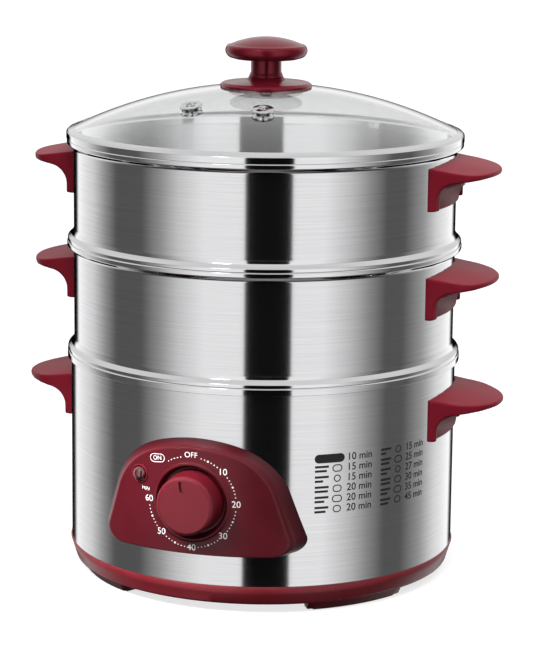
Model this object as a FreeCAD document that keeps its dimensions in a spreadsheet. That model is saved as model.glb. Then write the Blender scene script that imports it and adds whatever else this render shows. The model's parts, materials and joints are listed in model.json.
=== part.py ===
"""Three-storey electric food steamer, in millimetres.

+Z is up and the origin is the middle of the footprint on the table.  The control panel faces -Y and
the handles stand on +X and -X.  From the table up: the heated base with its water pot, two nesting
baskets with perforated floors, and a domed glass lid.
"""
import FreeCAD
import Part
import math
import os
import Sketcher
from FreeCAD import Placement, Rotation, Vector

doc = FreeCAD.newDocument("FoodSteamer")

# ------------------------------------------------------------------ driving dimensions

DIMENSIONS = (
    # the housing, and the vessels and rims that fit to it
    ("housing_radius", 139.2, "outside of the brushed housing"),
    ("sheet", 0.8, "thickness of the pressed steel"),
    ("pot_gap", 1.2, "air between the pot's mouth and the housing"),
    ("rim_overhang", 4.8, "how far every rim stands out from its vessel"),
    ("rim_band", 3.4, "height of a basket rim's upright band"),
    ("rim_flare", 2.6, "height of the flare under that band"),
    ("rim_land", 2.6, "width of the flat ring a vessel stands on"),
    ("nest_gap", 0.5, "air between a nesting neck and the mouth around it"),
    ("nest_depth", 8.0, "how far a neck reaches into the vessel below"),
    ("bead_overhang", 4.4, "how far the polished bead at a basket's foot stands out"),
    ("bead_edge", 2.4, "height of the bead's upright edge"),
    ("bead_height", 8.3, "height of the whole bead"),
    ("bead_curve", 9.0, "hollow curve over the bead"),
    ("bead_step", 0.3, "how much higher the bead's curve starts inside"),
    ("rim_round", 1.2, "rounding of a basket's rim"),
    ("floor_corner", 2.0, "bevel round a basket's floor"),
    ("middle_rise", 79.4, "rim to rim, base to middle basket"),
    ("upper_rise", 73.3, "rim to rim, middle to upper basket"),
    # perforated floors
    ("steam_hole_radius", 4.5, "one steam hole"),
    ("steam_ring_pitch", 34.0, "distance between the rings of steam holes"),
    # heated base
    ("base_height", 160.3, "table to the pot's rim"),
    ("collar_drop", 5.0, "depth of the pot's collar outside the housing"),
    ("collar_round", 1.0, "rounding of the pot's rim"),
    ("shoulder_step", 33.2, "how much the pot narrows below its mouth"),
    ("shoulder_high", 24.3, "rim down to the upper end of the pot's shoulder"),
    ("shoulder_low", 42.3, "rim down to the lower end of the pot's shoulder"),
    ("pot_floor", 62.0, "table to the inside of the pot's floor"),
    ("pot_corner", 10.0, "rounding between the pot's floor and wall"),
    ("ring_seat", 20.4, "table to the housing's lower edge"),
    ("ring_overhang", 0.8, "how far the base ring stands out at that edge"),
    ("ring_taper", 3.6, "how much the base ring narrows down to its underside"),
    ("ring_bevel", 2.4, "bevel round the ring's underside"),
    ("ring_underside", 6.5, "table to the underside of the base ring"),
    ("ring_wall", 3.0, "wall of the base ring"),
    ("ring_draft", 1.0, "lean of the ring's inner face"),
    ("ring_lip", 5.6, "height of the lip inside the housing"),
    ("ring_flange", 4.5, "ring's floor from a stay to its opening"),
    ("foot_inset", 3.9, "underside's edge to the outside of a foot"),
    ("foot_width", 13.0, "foot across where it leaves the ring"),
    ("foot_root", 0.5, "foot inside the ring"),
    ("foot_draft", 2.6, "how far a foot's sides lean in"),
    ("foot_span", 34.0, "arc of one foot in degrees"),
    ("foot_turn", 47.5, "angle from the front to the middle of a front foot"),
    ("pad_height", 1.0, "rubber under each foot"),
    ("pad_margin", 1.0, "foot's edge to its rubber"),
    ("pad_span", 30.0, "arc of one rubber pad in degrees"),
    ("cover_margin", 1.9, "inside of a foot to the bottom cover"),
    ("cover_thickness", 2.0, "bottom cover"),
    ("cover_recess", 1.3, "ring's underside up to the cover's seat"),
    ("floor_thickness", 2.7, "floor of the base ring"),
    ("slot_pitch", 14.0, "distance between the cover's cooling slots"),
    ("slot_width", 3.6, "one cooling slot"),
    ("slot_length", 68.0, "longest cooling slot"),
    ("slot_step", 8.0, "how much each next slot is shorter"),
    # stays between the base ring and the pot
    ("stay_inset", 5.1, "cover's edge to a stay"),
    ("stay_radius", 4.0, "one stay"),
    ("stay_stud", 7.0, "stud on top of a stay"),
    ("nut_height", 3.2, "nut on that stud"),
    ("bracket_height", 84.0, "table to the brackets the stays pull on"),
    ("bracket_sheet", 1.2, "steel of those brackets"),
    ("bracket_leg", 18.0, "leg of a bracket up the pot"),
    ("bracket_half", 8.0, "half the width of a bracket"),
    ("bracket_toe", 5.0, "bracket past its stay"),
    # screws
    ("cover_screw_length", 16.0, "screw into a stay"),
    ("cover_screw_radius", 1.9, "its shank"),
    ("cover_screw_head", 3.6, "radius of its head"),
    ("cover_head_height", 2.0, "height of its head"),
    ("small_screw_radius", 1.5, "shank of the panel's, timer's and inlet's screws"),
    ("small_screw_head", 3.0, "radius of their heads"),
    ("small_head_height", 1.8, "height of their heads"),
    ("screw_clearance", 0.3, "air round a screw in a part it holds"),
    ("panel_screw_length", 6.4, "screw into a boss of the panel"),
    ("boss_spare", 0.6, "hole in a boss past its screw"),
    ("timer_screw_length", 9.0, "screw into the timer case"),
    ("inlet_screw_length", 9.0, "screw through the inlet's flange"),
    # heating
    ("plate_radius", 80.0, "heating plate"),
    ("plate_thickness", 6.0, "heating plate"),
    ("element_ring", 62.0, "middle line of the tubular element"),
    ("element_radius", 3.5, "sheath of the tubular element"),
    ("element_sweep", 300.0, "arc of the tubular element in degrees"),
    ("element_tail", 12.0, "straight end of the element"),
    ("element_pin_radius", 1.2, "terminal pin of the element"),
    ("element_pin_length", 10.0, "terminal pin of the element"),
    ("thermostat_radius", 9.0, "disc thermostat"),
    ("thermostat_height", 7.0, "disc thermostat"),
    ("thermostat_ear", 32.0, "length of its mounting strap"),
    ("thermostat_strap", 10.0, "width of that strap"),
    ("strap_thickness", 1.0, "thickness of that strap"),
    ("thermostat_tab", 8.0, "its tabs below the can"),
    ("tab_thickness", 0.8, "blade terminals of thermostat and timer"),
    ("tab_width", 6.0, "blade terminals of thermostat and timer"),
    ("fuse_radius", 2.5, "thermal fuse"),
    ("fuse_length", 18.0, "thermal fuse"),
    ("fuse_span", 34.0, "thermal fuse with its leads"),
    ("fuse_offset", 27.0, "thermal fuse in front of the axis"),
    ("lead_radius", 0.6, "lead of the fuse"),
    # control panel, whose outline is measured where it touches the front of the housing
    ("panel_turn", 2.8, "angle of the panel's middle left of the front"),
    ("panel_depth", 10.3, "front face of the panel, out from the housing"),
    ("panel_root", 34.2, "start of the moulding's blank inside the housing"),
    ("panel_top", 123.6, "table to the top of the outline"),
    ("panel_crown_radius", 75.0, "crown of the outline"),
    ("panel_crown_span", 22.0, "half of the crown's arc in degrees"),
    ("panel_shoulder_radius", 48.0, "shoulders of the outline"),
    ("panel_side_lean", 14.0, "lean of the outline's straight sides in degrees"),
    ("panel_foot", 44.2, "lower edge of the outline"),
    ("panel_corner", 10.0, "rounding of the two lower corners"),
    ("panel_lean", 24.0, "lean of the panel's side walls in degrees"),
    ("panel_wall", 2.5, "wall of the moulding"),
    ("dial_height", 81.0, "table to the dial's middle"),
    ("dial_well_radius", 24.8, "mouth of the well round the knob"),
    ("dial_well_depth", 6.0, "well, from the front of the panel"),
    ("dial_well_slope", 1.2, "how much the well narrows"),
    ("dial_well_wall", 2.0, "wall of the cup behind the well"),
    ("dial_well_floor", 3.0, "floor of that cup"),
    ("lamp_angle", 15.1, "angle from the dial to the lamp"),
    ("lamp_height", 96.5, "table to the lamp"),
    ("lamp_radius", 5.4, "lens of the lamp"),
    ("lamp_ledge", 0.6, "ledge that holds the lens"),
    ("bezel_width", 1.6, "raised ring round the lens"),
    ("bezel_height", 0.9, "raised ring, out from the panel's face"),
    ("bezel_root", 2.0, "raised ring inside the panel"),
    ("lens_stem", 6.0, "stem of the lens behind the panel's face"),
    ("lens_sink", 1.0, "middle of the lens's dome behind the panel's face"),
    ("lens_bore", 7.0, "bore of the lens behind the panel's face"),
    ("bulb_radius", 2.9, "glass of the neon lamp"),
    ("bulb_length", 13.6, "glass of the neon lamp"),
    ("bulb_tip", 0.6, "tip of the lamp, out from the panel's face"),
    ("bulb_foot_radius", 1.6, "foot of the neon lamp"),
    ("bulb_foot_length", 7.0, "foot of the neon lamp"),
    ("boss_radius", 3.8, "screw bosses behind the panel"),
    ("boss_low_angle", 24.0, "angle from the dial to a lower boss"),
    ("boss_low_rise", 12.3, "panel's foot to the lower bosses"),
    ("boss_high_angle", 8.5, "angle from the dial to an upper boss"),
    ("boss_high_drop", 10.1, "panel's top to the upper bosses"),
    # timer
    ("knob_radius", 21.7, "skirt of the timer knob"),
    ("knob_face_radius", 18.6, "flat face of the timer knob"),
    ("knob_length", 18.6, "knob from back to face"),
    ("knob_gap", 0.6, "air between the knob and the floor of its well"),
    ("knob_web", 4.5, "face of the knob to the hollow behind it"),
    ("knob_wall", 2.2, "wall of the knob's skirt"),
    ("knob_skirt", 2.4, "straight edge round the knob's foot"),
    ("knob_taper", 1.4, "how much the knob narrows to its face"),
    ("knob_edge", 3.4, "height of the rounding at the face"),
    ("knob_edge_round", 3.6, "rounding at the face"),
    ("hub_wall", 3.0, "hub round the shaft"),
    ("pointer_turn", 10.0, "pointer left of the off mark at rest in degrees"),
    ("pointer_inner", 10.0, "pointer groove's inner end from the dial's middle"),
    ("pointer_outer", 18.0, "pointer groove's outer end from the dial's middle"),
    ("pointer_width", 1.8, "pointer groove"),
    ("pointer_depth", 0.8, "pointer groove"),
    ("shaft_radius", 3.0, "timer shaft"),
    ("shaft_running", 0.05, "radial play of the shaft in its bush"),
    ("shaft_end_gap", 0.5, "air behind the shaft's foot"),
    ("shaft_press", 0.03, "play of the shaft in the knob's hub"),
    ("shaft_short", 5.0, "shaft's end behind the knob's face"),
    ("bush_wall", 2.0, "bush round the shaft"),
    ("bush_drop", 1.0, "floor of the well to the end of the bush"),
    ("timer_width", 44.0, "timer case across and up"),
    ("timer_depth", 26.0, "timer case front to back"),
    ("timer_wall", 6.0, "shaft's foot to the back of the case"),
    ("timer_gap", 2.0, "housing's opening round the case"),
    ("timer_tab", 9.0, "blade terminals behind the timer case"),
    ("timer_tab_rise", 8.0, "lower edge of the case to its terminals"),
    ("timer_screw_spread", 14.0, "timer's screws from its shaft"),
    ("timer_bore", 8.0, "depth of the screw holes in the timer case"),
    # power inlet at the back
    ("inlet_height", 42.0, "table to the middle of the inlet"),
    ("inlet_flange_width", 58.0, "flange across"),
    ("inlet_flange_height", 32.0, "flange up"),
    ("inlet_flange_depth", 3.4, "face of the flange, out from the housing"),
    ("inlet_reach", 24.3, "mouth of the inlet, out from the housing"),
    ("inlet_mouth_width", 24.4, "socket mouth across"),
    ("inlet_mouth_height", 16.4, "socket mouth up"),
    ("inlet_mouth_depth", 17.0, "socket mouth"),
    ("inlet_wall", 3.2, "wall round the mouth"),
    ("inlet_cavity", 13.1, "hollow behind the socket's floor"),
    ("inlet_screw_spread", 22.0, "a flange screw to the inlet's middle"),
    ("pin_spread", 7.0, "outer pins from the inlet's middle"),
    ("pin_offset", 2.0, "pins above and below the inlet's middle"),
    ("pin_width", 2.0, "one blade across"),
    ("pin_height", 4.0, "one blade up"),
    ("pin_tail", 4.0, "blade behind the inlet"),
    ("pin_recess", 3.0, "tip of a blade inside the mouth"),
    # side handles
    ("handle_reach", 34.0, "tip of a basket's handle from the wall"),
    ("base_handle_reach", 38.0, "tip of the base's handle from the wall"),
    ("handle_half", 44.5, "half the width of a basket's handle where its corners start"),
    ("base_handle_half", 42.0, "half the width of the base's handle there"),
    ("handle_straight", 4.0, "straight side of the shelf past the wall"),
    ("handle_lean", 6.0, "lean of those sides in degrees"),
    ("handle_corner", 22.0, "rounding of the shelf's outer corners in plan"),
    ("handle_fall", 4.0, "drop of the shelf from wall to tip"),
    ("handle_crown", 330.0, "curve of the shelf's top from side to side"),
    ("handle_edge", 4.2, "thickness of the shelf's edge"),
    ("handle_drop", 29.5, "height of the plate on the wall"),
    ("handle_plate", 5.2, "thickness of that plate"),
    ("handle_heel", 6.5, "straight foot of that plate"),
    ("handle_sweep", 12.0, "radius of the hollow under the shelf"),
    ("handle_root", 16.0, "how deep the moulding's blank starts inside the wall"),
    ("scoop_floor", 2.0, "thickness of the plate at the foot of its finger scoop"),
    ("scoop_radius", 18.5, "curve of the scoop up to the shelf"),
    ("scoop_span", 31.0, "arc of the scoop round the wall in degrees"),
    ("middle_handle_drop", 14.4, "rim to the top of the middle basket's handle"),
    ("upper_handle_drop", 11.2, "rim to the top of the upper basket's handle"),
    ("base_handle_drop", 22.2, "rim to the top of the base's handle"),
    ("block_width", 26.0, "steel block under a handle"),
    ("block_height", 12.0, "steel block under a handle"),
    ("block_depth", 3.5, "steel block under a handle"),
    ("handle_screw_drop", 13.0, "handle's top to its screw"),
    ("handle_screw_radius", 1.9, "screw shank"),
    ("handle_screw_head", 3.6, "radius of the screw's head"),
    ("handle_head_height", 2.2, "height of the screw's head"),
    ("handle_screw_length", 6.4, "screw into its steel block"),
    ("head_gap", 0.6, "air round the head in the moulding"),
    ("handle_screw_seat", 7.0, "seat of the screw's head from the wall"),
    # lid
    ("lid_overhang", 0.3, "how far the band round the glass stands past the rim"),
    ("lid_band", 4.4, "upright part of the band"),
    ("lid_lip", 5.0, "rim to the inner edge of the lip on the glass"),
    ("lid_turn", 3.75, "angle of the lid's front left of the steamer's front"),
    ("lid_skirt", 5.0, "depth of the skirt inside the basket's rim"),
    ("glass_inset", 1.2, "rim to the edge of the glass"),
    ("glass_edge_rise", 4.78, "lid seat to the top of the glass at its edge"),
    ("glass_thickness", 3.5, "lid glass"),
    ("dome_radius", 315.0, "outer curve of the glass"),
    ("vent_circle", 82.5, "distance of the steam vents from the axis"),
    ("vent_spread", 18.5, "angle from the lid's front to a vent"),
    ("vent_radius", 7.8, "steam vent"),
    ("vent_neck", 5.0, "vent's tube through the glass"),
    ("vent_wall", 1.0, "wall of that tube"),
    ("vent_crimp", 1.2, "crimped edge under the glass"),
    ("vent_lift", 2.2, "glass to the underside of the vent's cap"),
    ("vent_cap", 1.2, "thickness of that cap"),
    ("vent_eye", 0.9, "middle hole of the cap"),
    ("vent_slot", 3.0, "width of a slot in the cap"),
    ("vent_slot_start", 2.2, "middle of the cap to a slot"),
    ("flange_radius", 32.6, "seat under the lid knob"),
    ("neck_radius", 10.8, "neck of the lid knob"),
    ("knob_cap_radius", 29.3, "cap of the lid knob"),
    ("knob_seat_rise", 5.2, "top of the glass to the foot of the knob"),
    ("knob_neck_rise", 18.4, "top of the glass to the underside of the cap"),
    ("knob_top_rise", 34.0, "top of the glass to the top of the knob"),
    ("knob_crease_rise", 9.2, "underside of the cap to its edge"),
    ("post_radius", 2.5, "screw through the lid knob"),
    ("post_gap", 0.5, "air round that screw in the glass"),
    ("washer_radius", 8.0, "washer under the glass"),
    ("washer_height", 3.05, "washer under the glass"),
    ("post_head", 5.2, "head of the lid knob's screw"),
    ("post_head_height", 2.8, "head of the lid knob's screw"),
    ("post_grip", 2.0, "that screw inside the knob's cap"),
    ("post_bore", 3.0, "screw hole in the cap"),
    ("weld_gap", 0.05, "air where a part lies against a curved wall"),
    ("slip_gap", 0.2, "air round a part in its hole"),
    ("seat_gap", 0.1, "air under a seated piece"),
    ("glass_gap", 0.15, "air between the glass and a fitting"),
    ("overcut", 1.0, "how far a cut runs past the face it opens"),
    ("spare", 4.0, "length that a cut or a blank has to spare"),
)

sheet = doc.addObject("Spreadsheet::Sheet", "Sizes")
for row, (alias, value, meaning) in enumerate(DIMENSIONS, start=1):
    sheet.set(f"A{row}", str(value))
    sheet.setAlias(f"A{row}", alias)
    sheet.set(f"B{row}", meaning)
doc.recompute()


class Size:
    """A dimension as a number and as the spreadsheet expression that gives it."""

    def __init__(self, number, text=None):
        self.number = float(number)
        self.text = text if text is not None else repr(float(number))

    def __add__(self, other):
        other = as_size(other)
        return Size(self.number + other.number, f"({self.text} + {other.text})")

    def __sub__(self, other):
        other = as_size(other)
        return Size(self.number - other.number, f"({self.text} - {other.text})")

    def __mul__(self, other):
        other = as_size(other)
        return Size(self.number * other.number, f"({self.text} * {other.text})")

    def __truediv__(self, other):
        other = as_size(other)
        return Size(self.number / other.number, f"({self.text} / {other.text})")

    def __neg__(self):
        return Size(-self.number, f"(-1 * {self.text})")

    def root(self):
        return Size(math.sqrt(self.number), f"sqrt({self.text})")

    def sine(self):
        return Size(math.sin(math.radians(self.number)), f"sin({self.text} * 1 deg)")

    def cosine(self):
        return Size(math.cos(math.radians(self.number)), f"cos({self.text} * 1 deg)")


def as_size(value):
    return value if isinstance(value, Size) else Size(value)


def number(value):
    return as_size(value).number


class SheetSizes:
    """Reads a driving dimension from the spreadsheet by its alias."""

    def __getattr__(self, alias):
        return Size(sheet.get(alias), f"Sizes.{alias}")


S = SheetSizes()
ZERO = Size(0)
QUARTER = Size(90)
UP = Vector(0, 0, 1)
FRONT = Vector(0, -1, 0)
BACK = Vector(0, 1, 0)
RIGHT = Vector(1, 0, 0)

# ------------------------------------------------------------------ drawing helpers


def bind(thing, **sizes):
    """Bind properties of a document object to spreadsheet expressions."""
    for name, value in sizes.items():
        value = as_size(value)
        setattr(thing, name, value.number)
        thing.setExpression(name, value.text)


def new_body(label):
    body = doc.addObject("PartDesign::Body", label)
    body.Label = label
    return body


def new_sketch(body, name, plane, offset=0, turn=0):
    """Empty sketch on one of the body's origin planes, shifted along its normal and turned."""
    sketch = body.newObject("Sketcher::SketchObject", name)
    support = [o for o in body.Origin.OriginFeatures if o.Role == plane][0]
    sketch.AttachmentSupport = (support, [""])
    sketch.MapMode = "FlatFace"
    spin = Rotation(Vector(0, 1, 0), number(turn))
    sketch.AttachmentOffset = Placement(Vector(0, 0, number(offset)), spin)
    sketch.setExpression("AttachmentOffset.Base.z", as_size(offset).text)
    return sketch


def fix_coordinate(sketch, kind, geometry, end, size):
    """Hold one coordinate of a point; a zero lies on the sketch's axis."""
    if size.number == 0:
        axis = -2 if kind == "DistanceX" else -1
        sketch.addConstraint(Sketcher.Constraint("PointOnObject", geometry, end, axis))
        return
    index = sketch.addConstraint(Sketcher.Constraint(kind, geometry, end, size.number))
    sketch.setExpression(f"Constraints[{index}]", size.text)


def draw_outline(sketch, corners, bends=None):
    """Closed outline through corners.  bends gives the radius of the arc that leaves a corner;
    a positive radius bulges to the right of the way round, a negative one to the left."""
    bends = bends or {}
    corners = [(as_size(x), as_size(y)) for x, y in corners]
    first = sketch.GeometryCount
    ends = []
    for i, (x, y) in enumerate(corners):
        start = Vector(x.number, y.number, 0)
        following = corners[(i + 1) % len(corners)]
        stop = Vector(following[0].number, following[1].number, 0)
        if i not in bends:
            sketch.addGeometry(Part.LineSegment(start, stop), False)
            ends.append((1, 2))
            continue
        radius = number(bends[i])
        chord = stop - start
        sagitta = abs(radius) - math.sqrt(radius * radius - chord.Length ** 2 / 4)
        right = Vector(chord.y, -chord.x, 0).normalize()
        middle = (start + stop) * 0.5 + right * math.copysign(sagitta, radius)
        if radius > 0:
            sketch.addGeometry(Part.Arc(start, middle, stop), False)
            ends.append((1, 2))
        else:
            sketch.addGeometry(Part.Arc(stop, middle, start), False)
            ends.append((2, 1))
    count = len(corners)
    for i in range(count):
        before = (i - 1) % count
        sketch.addConstraint(Sketcher.Constraint(
            "Coincident", first + before, ends[before][1], first + i, ends[i][0]))
        fix_coordinate(sketch, "DistanceX", first + i, ends[i][0], corners[i][0])
        fix_coordinate(sketch, "DistanceY", first + i, ends[i][0], corners[i][1])
        if i in bends:
            size = as_size(bends[i])
            size = size if size.number > 0 else -size
            index = sketch.addConstraint(Sketcher.Constraint("Radius", first + i, size.number))
            sketch.setExpression(f"Constraints[{index}]", size.text)
    return sketch


def revolve(body, sketch, name, kind="Revolution", angle=360):
    """Turn a sketch about the body's Z axis, half of the angle to each side."""
    feature = body.newObject(f"PartDesign::{kind}", name)
    feature.Profile = sketch
    feature.ReferenceAxis = (sketch, ["V_Axis"])
    bind(feature, Angle=angle)
    feature.Midplane = number(angle) < 360
    return feature


def turned(label, corners, bends=None):
    """Body of revolution from one profile of (radius, height) corners."""
    body = new_body(label)
    profile = new_sketch(body, f"{label}_profile", "XZ_Plane")
    draw_outline(profile, corners, bends)
    revolve(body, profile, f"{label}_turned")
    return body


def pocket(body, sketch, name):
    """Cut a sketch's area out of the body, all the way through on both sides."""
    feature = body.newObject("PartDesign::Pocket", name)
    feature.Profile = sketch
    feature.Type = "ThroughAll"
    feature.Midplane = True
    return feature


def put(thing, x=0, y=0, z=0, axis=UP, turn=0):
    """Place an object: its own Z goes along axis, then turn spins it about its place."""
    spin = Rotation(UP, number(turn)) * Rotation(UP, axis)
    thing.Placement = Placement(Vector(number(x), number(y), number(z)), spin)
    for name, value in (("x", x), ("y", y), ("z", z)):
        if isinstance(value, Size):
            thing.setExpression(f"Placement.Base.{name}", value.text)
    return thing


def cylinder(name, radius, height, x=0, y=0, z=0, axis=UP):
    solid = doc.addObject("Part::Cylinder", name)
    bind(solid, Radius=radius, Height=height)
    return put(solid, x, y, z, axis)


def block(name, low, high):
    """Box between two corners given as sizes."""
    solid = doc.addObject("Part::Box", name)
    spans = [as_size(b) - as_size(a) for a, b in zip(low, high)]
    bind(solid, Length=spans[0], Width=spans[1], Height=spans[2])
    return put(solid, *low)


def fuse(name, parts):
    solid = doc.addObject("Part::MultiFuse", name)
    solid.Shapes = list(parts)
    solid.Label = name
    return solid


def cut(name, base, tools):
    solid = doc.addObject("Part::Cut", name)
    solid.Base = base
    solid.Tool = tools[0] if len(tools) == 1 else fuse(f"{name}_tools", tools)
    solid.Label = name
    return solid


def common(name, first, second):
    solid = doc.addObject("Part::Common", name)
    solid.Base = first
    solid.Tool = second
    solid.Label = name
    return solid


def group(name, parts):
    solid = doc.addObject("Part::Compound", name)
    solid.Links = list(parts)
    solid.Label = name
    return solid


def face_front(thing):
    """Swing a piece drawn facing -Y round to the panel's own direction."""
    thing.Placement = Placement(Vector(), Rotation(UP, -S.panel_turn.number)) * thing.Placement
    return thing


def screw(name, shank, length, head, head_height, **where):
    """Round-headed screw; it is placed at the underside of its head and points along its axis."""
    body = turned(name, (
        (ZERO, -as_size(head_height)),
        (as_size(head) * 0.72, -as_size(head_height)),
        (head, -as_size(head_height) * 0.45),
        (head, ZERO),
        (shank, ZERO),
        (shank, length),
        (ZERO, length)))
    return put(body, **where)


# ------------------------------------------------------------------ heights and shared radii

vessel_radius = S.housing_radius - S.sheet - S.pot_gap
rim_radius = vessel_radius + S.rim_overhang
bead_radius = vessel_radius + S.bead_overhang
mouth = vessel_radius - S.sheet
neck = mouth - S.nest_gap
land = rim_radius - S.rim_land
middle_top = S.base_height + S.middle_rise
upper_top = middle_top + S.upper_rise
glass_radius = rim_radius - S.glass_inset
glass_sagitta = S.dome_radius - (S.dome_radius * S.dome_radius - glass_radius * glass_radius).root()
glass_top = upper_top + S.glass_edge_rise + glass_sagitta
dome_centre = glass_top - S.dome_radius
inner_dome_radius = S.dome_radius - S.glass_thickness
small_screw_hole = S.small_screw_radius + S.screw_clearance
small_screw_thread = S.small_screw_radius + S.weld_gap


def dome(radius, curve=S.dome_radius):
    """Height of a sphere of the lid at a distance from the axis."""
    radius = as_size(radius)
    return dome_centre + (curve * curve - radius * radius).root()


# ------------------------------------------------------------------ base ring, feet and bottom cover

ring_radius = S.housing_radius + S.ring_overhang
ring_foot_radius = ring_radius - S.ring_taper
ring_inner = ring_foot_radius - S.ring_wall
foot_outer = ring_foot_radius - S.foot_inset
foot_inner = foot_outer - S.foot_width
cover_radius = foot_inner - S.cover_margin
stay_circle = cover_radius - S.stay_inset
ring_opening = stay_circle - S.ring_flange
cover_seat = S.ring_underside + S.cover_recess
ring_floor = cover_seat + S.floor_thickness
lip_outer = S.housing_radius - S.sheet - S.slip_gap

base_ring = new_body("base_ring")
ring_profile = new_sketch(base_ring, "ring_profile", "XZ_Plane")
draw_outline(ring_profile, (
    (ring_opening, cover_seat),
    (cover_radius + S.slip_gap, cover_seat),
    (cover_radius + S.slip_gap, S.ring_underside),
    (ring_foot_radius - S.ring_bevel, S.ring_underside),
    (ring_foot_radius, S.ring_underside + S.ring_bevel),
    (ring_radius, S.ring_seat),
    (lip_outer, S.ring_seat),
    (lip_outer, S.ring_seat + S.ring_lip),
    (lip_outer - S.ring_wall, S.ring_seat + S.ring_lip),
    (ring_inner - S.ring_draft, ring_floor),
    (ring_opening, ring_floor)),
    bends={3: S.ring_bevel + 0.4})
revolve(base_ring, ring_profile, "ring_turned")
foot_places = (S.foot_turn - QUARTER, -S.foot_turn - QUARTER, QUARTER - S.foot_turn, QUARTER + S.foot_turn)
foot_sink = S.ring_underside + S.foot_root
for i, place in enumerate(foot_places):
    foot_profile = new_sketch(base_ring, f"foot_{i}_profile", "XZ_Plane", turn=place)
    draw_outline(foot_profile, (
        (foot_inner, foot_sink),
        (foot_inner, S.ring_underside),
        (foot_inner + S.foot_draft, S.pad_height),
        (foot_outer - S.foot_draft, S.pad_height),
        (foot_outer, S.ring_underside),
        (foot_outer, foot_sink)))
    revolve(base_ring, foot_profile, f"foot_{i}_turned", angle=S.foot_span)

pads = []
pad_inner = foot_inner + S.foot_draft + S.pad_margin
pad_outer = foot_outer - S.foot_draft - S.pad_margin
for i, place in enumerate(foot_places):
    pad = new_body(f"pad_{i}")
    pad_profile = new_sketch(pad, f"pad_{i}_profile", "XZ_Plane", turn=place)
    draw_outline(pad_profile, (
        (pad_inner, ZERO),
        (pad_outer, ZERO),
        (pad_outer, S.pad_height),
        (pad_inner, S.pad_height)))
    revolve(pad, pad_profile, f"pad_{i}_turned", angle=S.pad_span)
    pads.append(pad)
rubber_feet = group("rubber_feet", pads)

STAY_ANGLES = (30, 150, 210, 330)
SLOTS_EACH_WAY = 3


def round_the_stays(make):
    """One piece at each stay; make gets its number, x and y."""
    pieces = []
    for i, angle in enumerate(STAY_ANGLES):
        turn = Size(angle)
        pieces.append(make(i, stay_circle * turn.cosine(), stay_circle * turn.sine()))
    return pieces


cover_hole_radius = S.cover_screw_radius + S.slip_gap
ring_holes = round_the_stays(lambda i, x, y: cylinder(
    f"ring_hole_{i}", cover_hole_radius, ring_floor, x, y, S.ring_underside - S.overcut))
base_ring_part = cut("base_ring_drilled", base_ring, ring_holes)

cover_low = cover_seat - S.cover_thickness
cover_disc = cylinder("cover_disc", cover_radius, S.cover_thickness, z=cover_low)
cover_cuts = round_the_stays(lambda i, x, y: cylinder(
    f"cover_hole_{i}", cover_hole_radius, S.cover_thickness + S.overcut * 2, x, y, cover_low - S.overcut))
for i in range(-SLOTS_EACH_WAY, SLOTS_EACH_WAY + 1):
    slot_half = (S.slot_length - S.slot_step * abs(i)) / 2
    slot_y = S.slot_pitch * i
    cover_cuts.append(block(f"cover_slot_{i + SLOTS_EACH_WAY}", (-slot_half, slot_y - S.slot_width / 2,
                                                     cover_low - S.overcut),
                            (slot_half, slot_y + S.slot_width / 2, cover_seat + S.overcut)))
bottom_cover = cut("bottom_cover", cover_disc, cover_cuts)
bottom_screws = group("bottom_screws", round_the_stays(lambda i, x, y: screw(
    f"bottom_screw_{i}", S.cover_screw_radius, S.cover_screw_length, S.cover_screw_head,
    S.cover_head_height, x=x, y=y, z=cover_low)))

# ------------------------------------------------------------------ housing, pot, stays

housing_top = S.base_height - S.sheet
housing_shell = turned("housing_shell", (
    (S.housing_radius - S.sheet, S.ring_seat),
    (S.housing_radius, S.ring_seat),
    (S.housing_radius, housing_top),
    (S.housing_radius - S.sheet, housing_top)))

pot_radius = vessel_radius - S.shoulder_step
pot_inner = pot_radius - S.sheet
shoulder_high = S.base_height - S.shoulder_high
shoulder_low = S.base_height - S.shoulder_low
water_pot = turned("water_pot", (
    (ZERO, S.pot_floor - S.sheet),
    (pot_radius - S.pot_corner, S.pot_floor - S.sheet),
    (pot_radius, S.pot_floor - S.sheet + S.pot_corner),
    (pot_radius, shoulder_low),
    (vessel_radius, shoulder_high),
    (vessel_radius, S.base_height - S.sheet),
    (rim_radius - S.sheet, S.base_height - S.sheet),
    (rim_radius - S.sheet, S.base_height - S.collar_drop),
    (rim_radius, S.base_height - S.collar_drop),
    (rim_radius, S.base_height - S.collar_round),
    (rim_radius - S.collar_round, S.base_height),
    (mouth, S.base_height),
    (mouth, shoulder_high + S.sheet),
    (pot_inner, shoulder_low + S.sheet),
    (pot_inner, S.pot_floor + S.pot_corner - S.sheet),
    (pot_inner - S.pot_corner + S.sheet, S.pot_floor),
    (ZERO, S.pot_floor)),
    bends={1: S.pot_corner, 9: S.collar_round, 14: -(S.pot_corner - S.sheet)})

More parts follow.
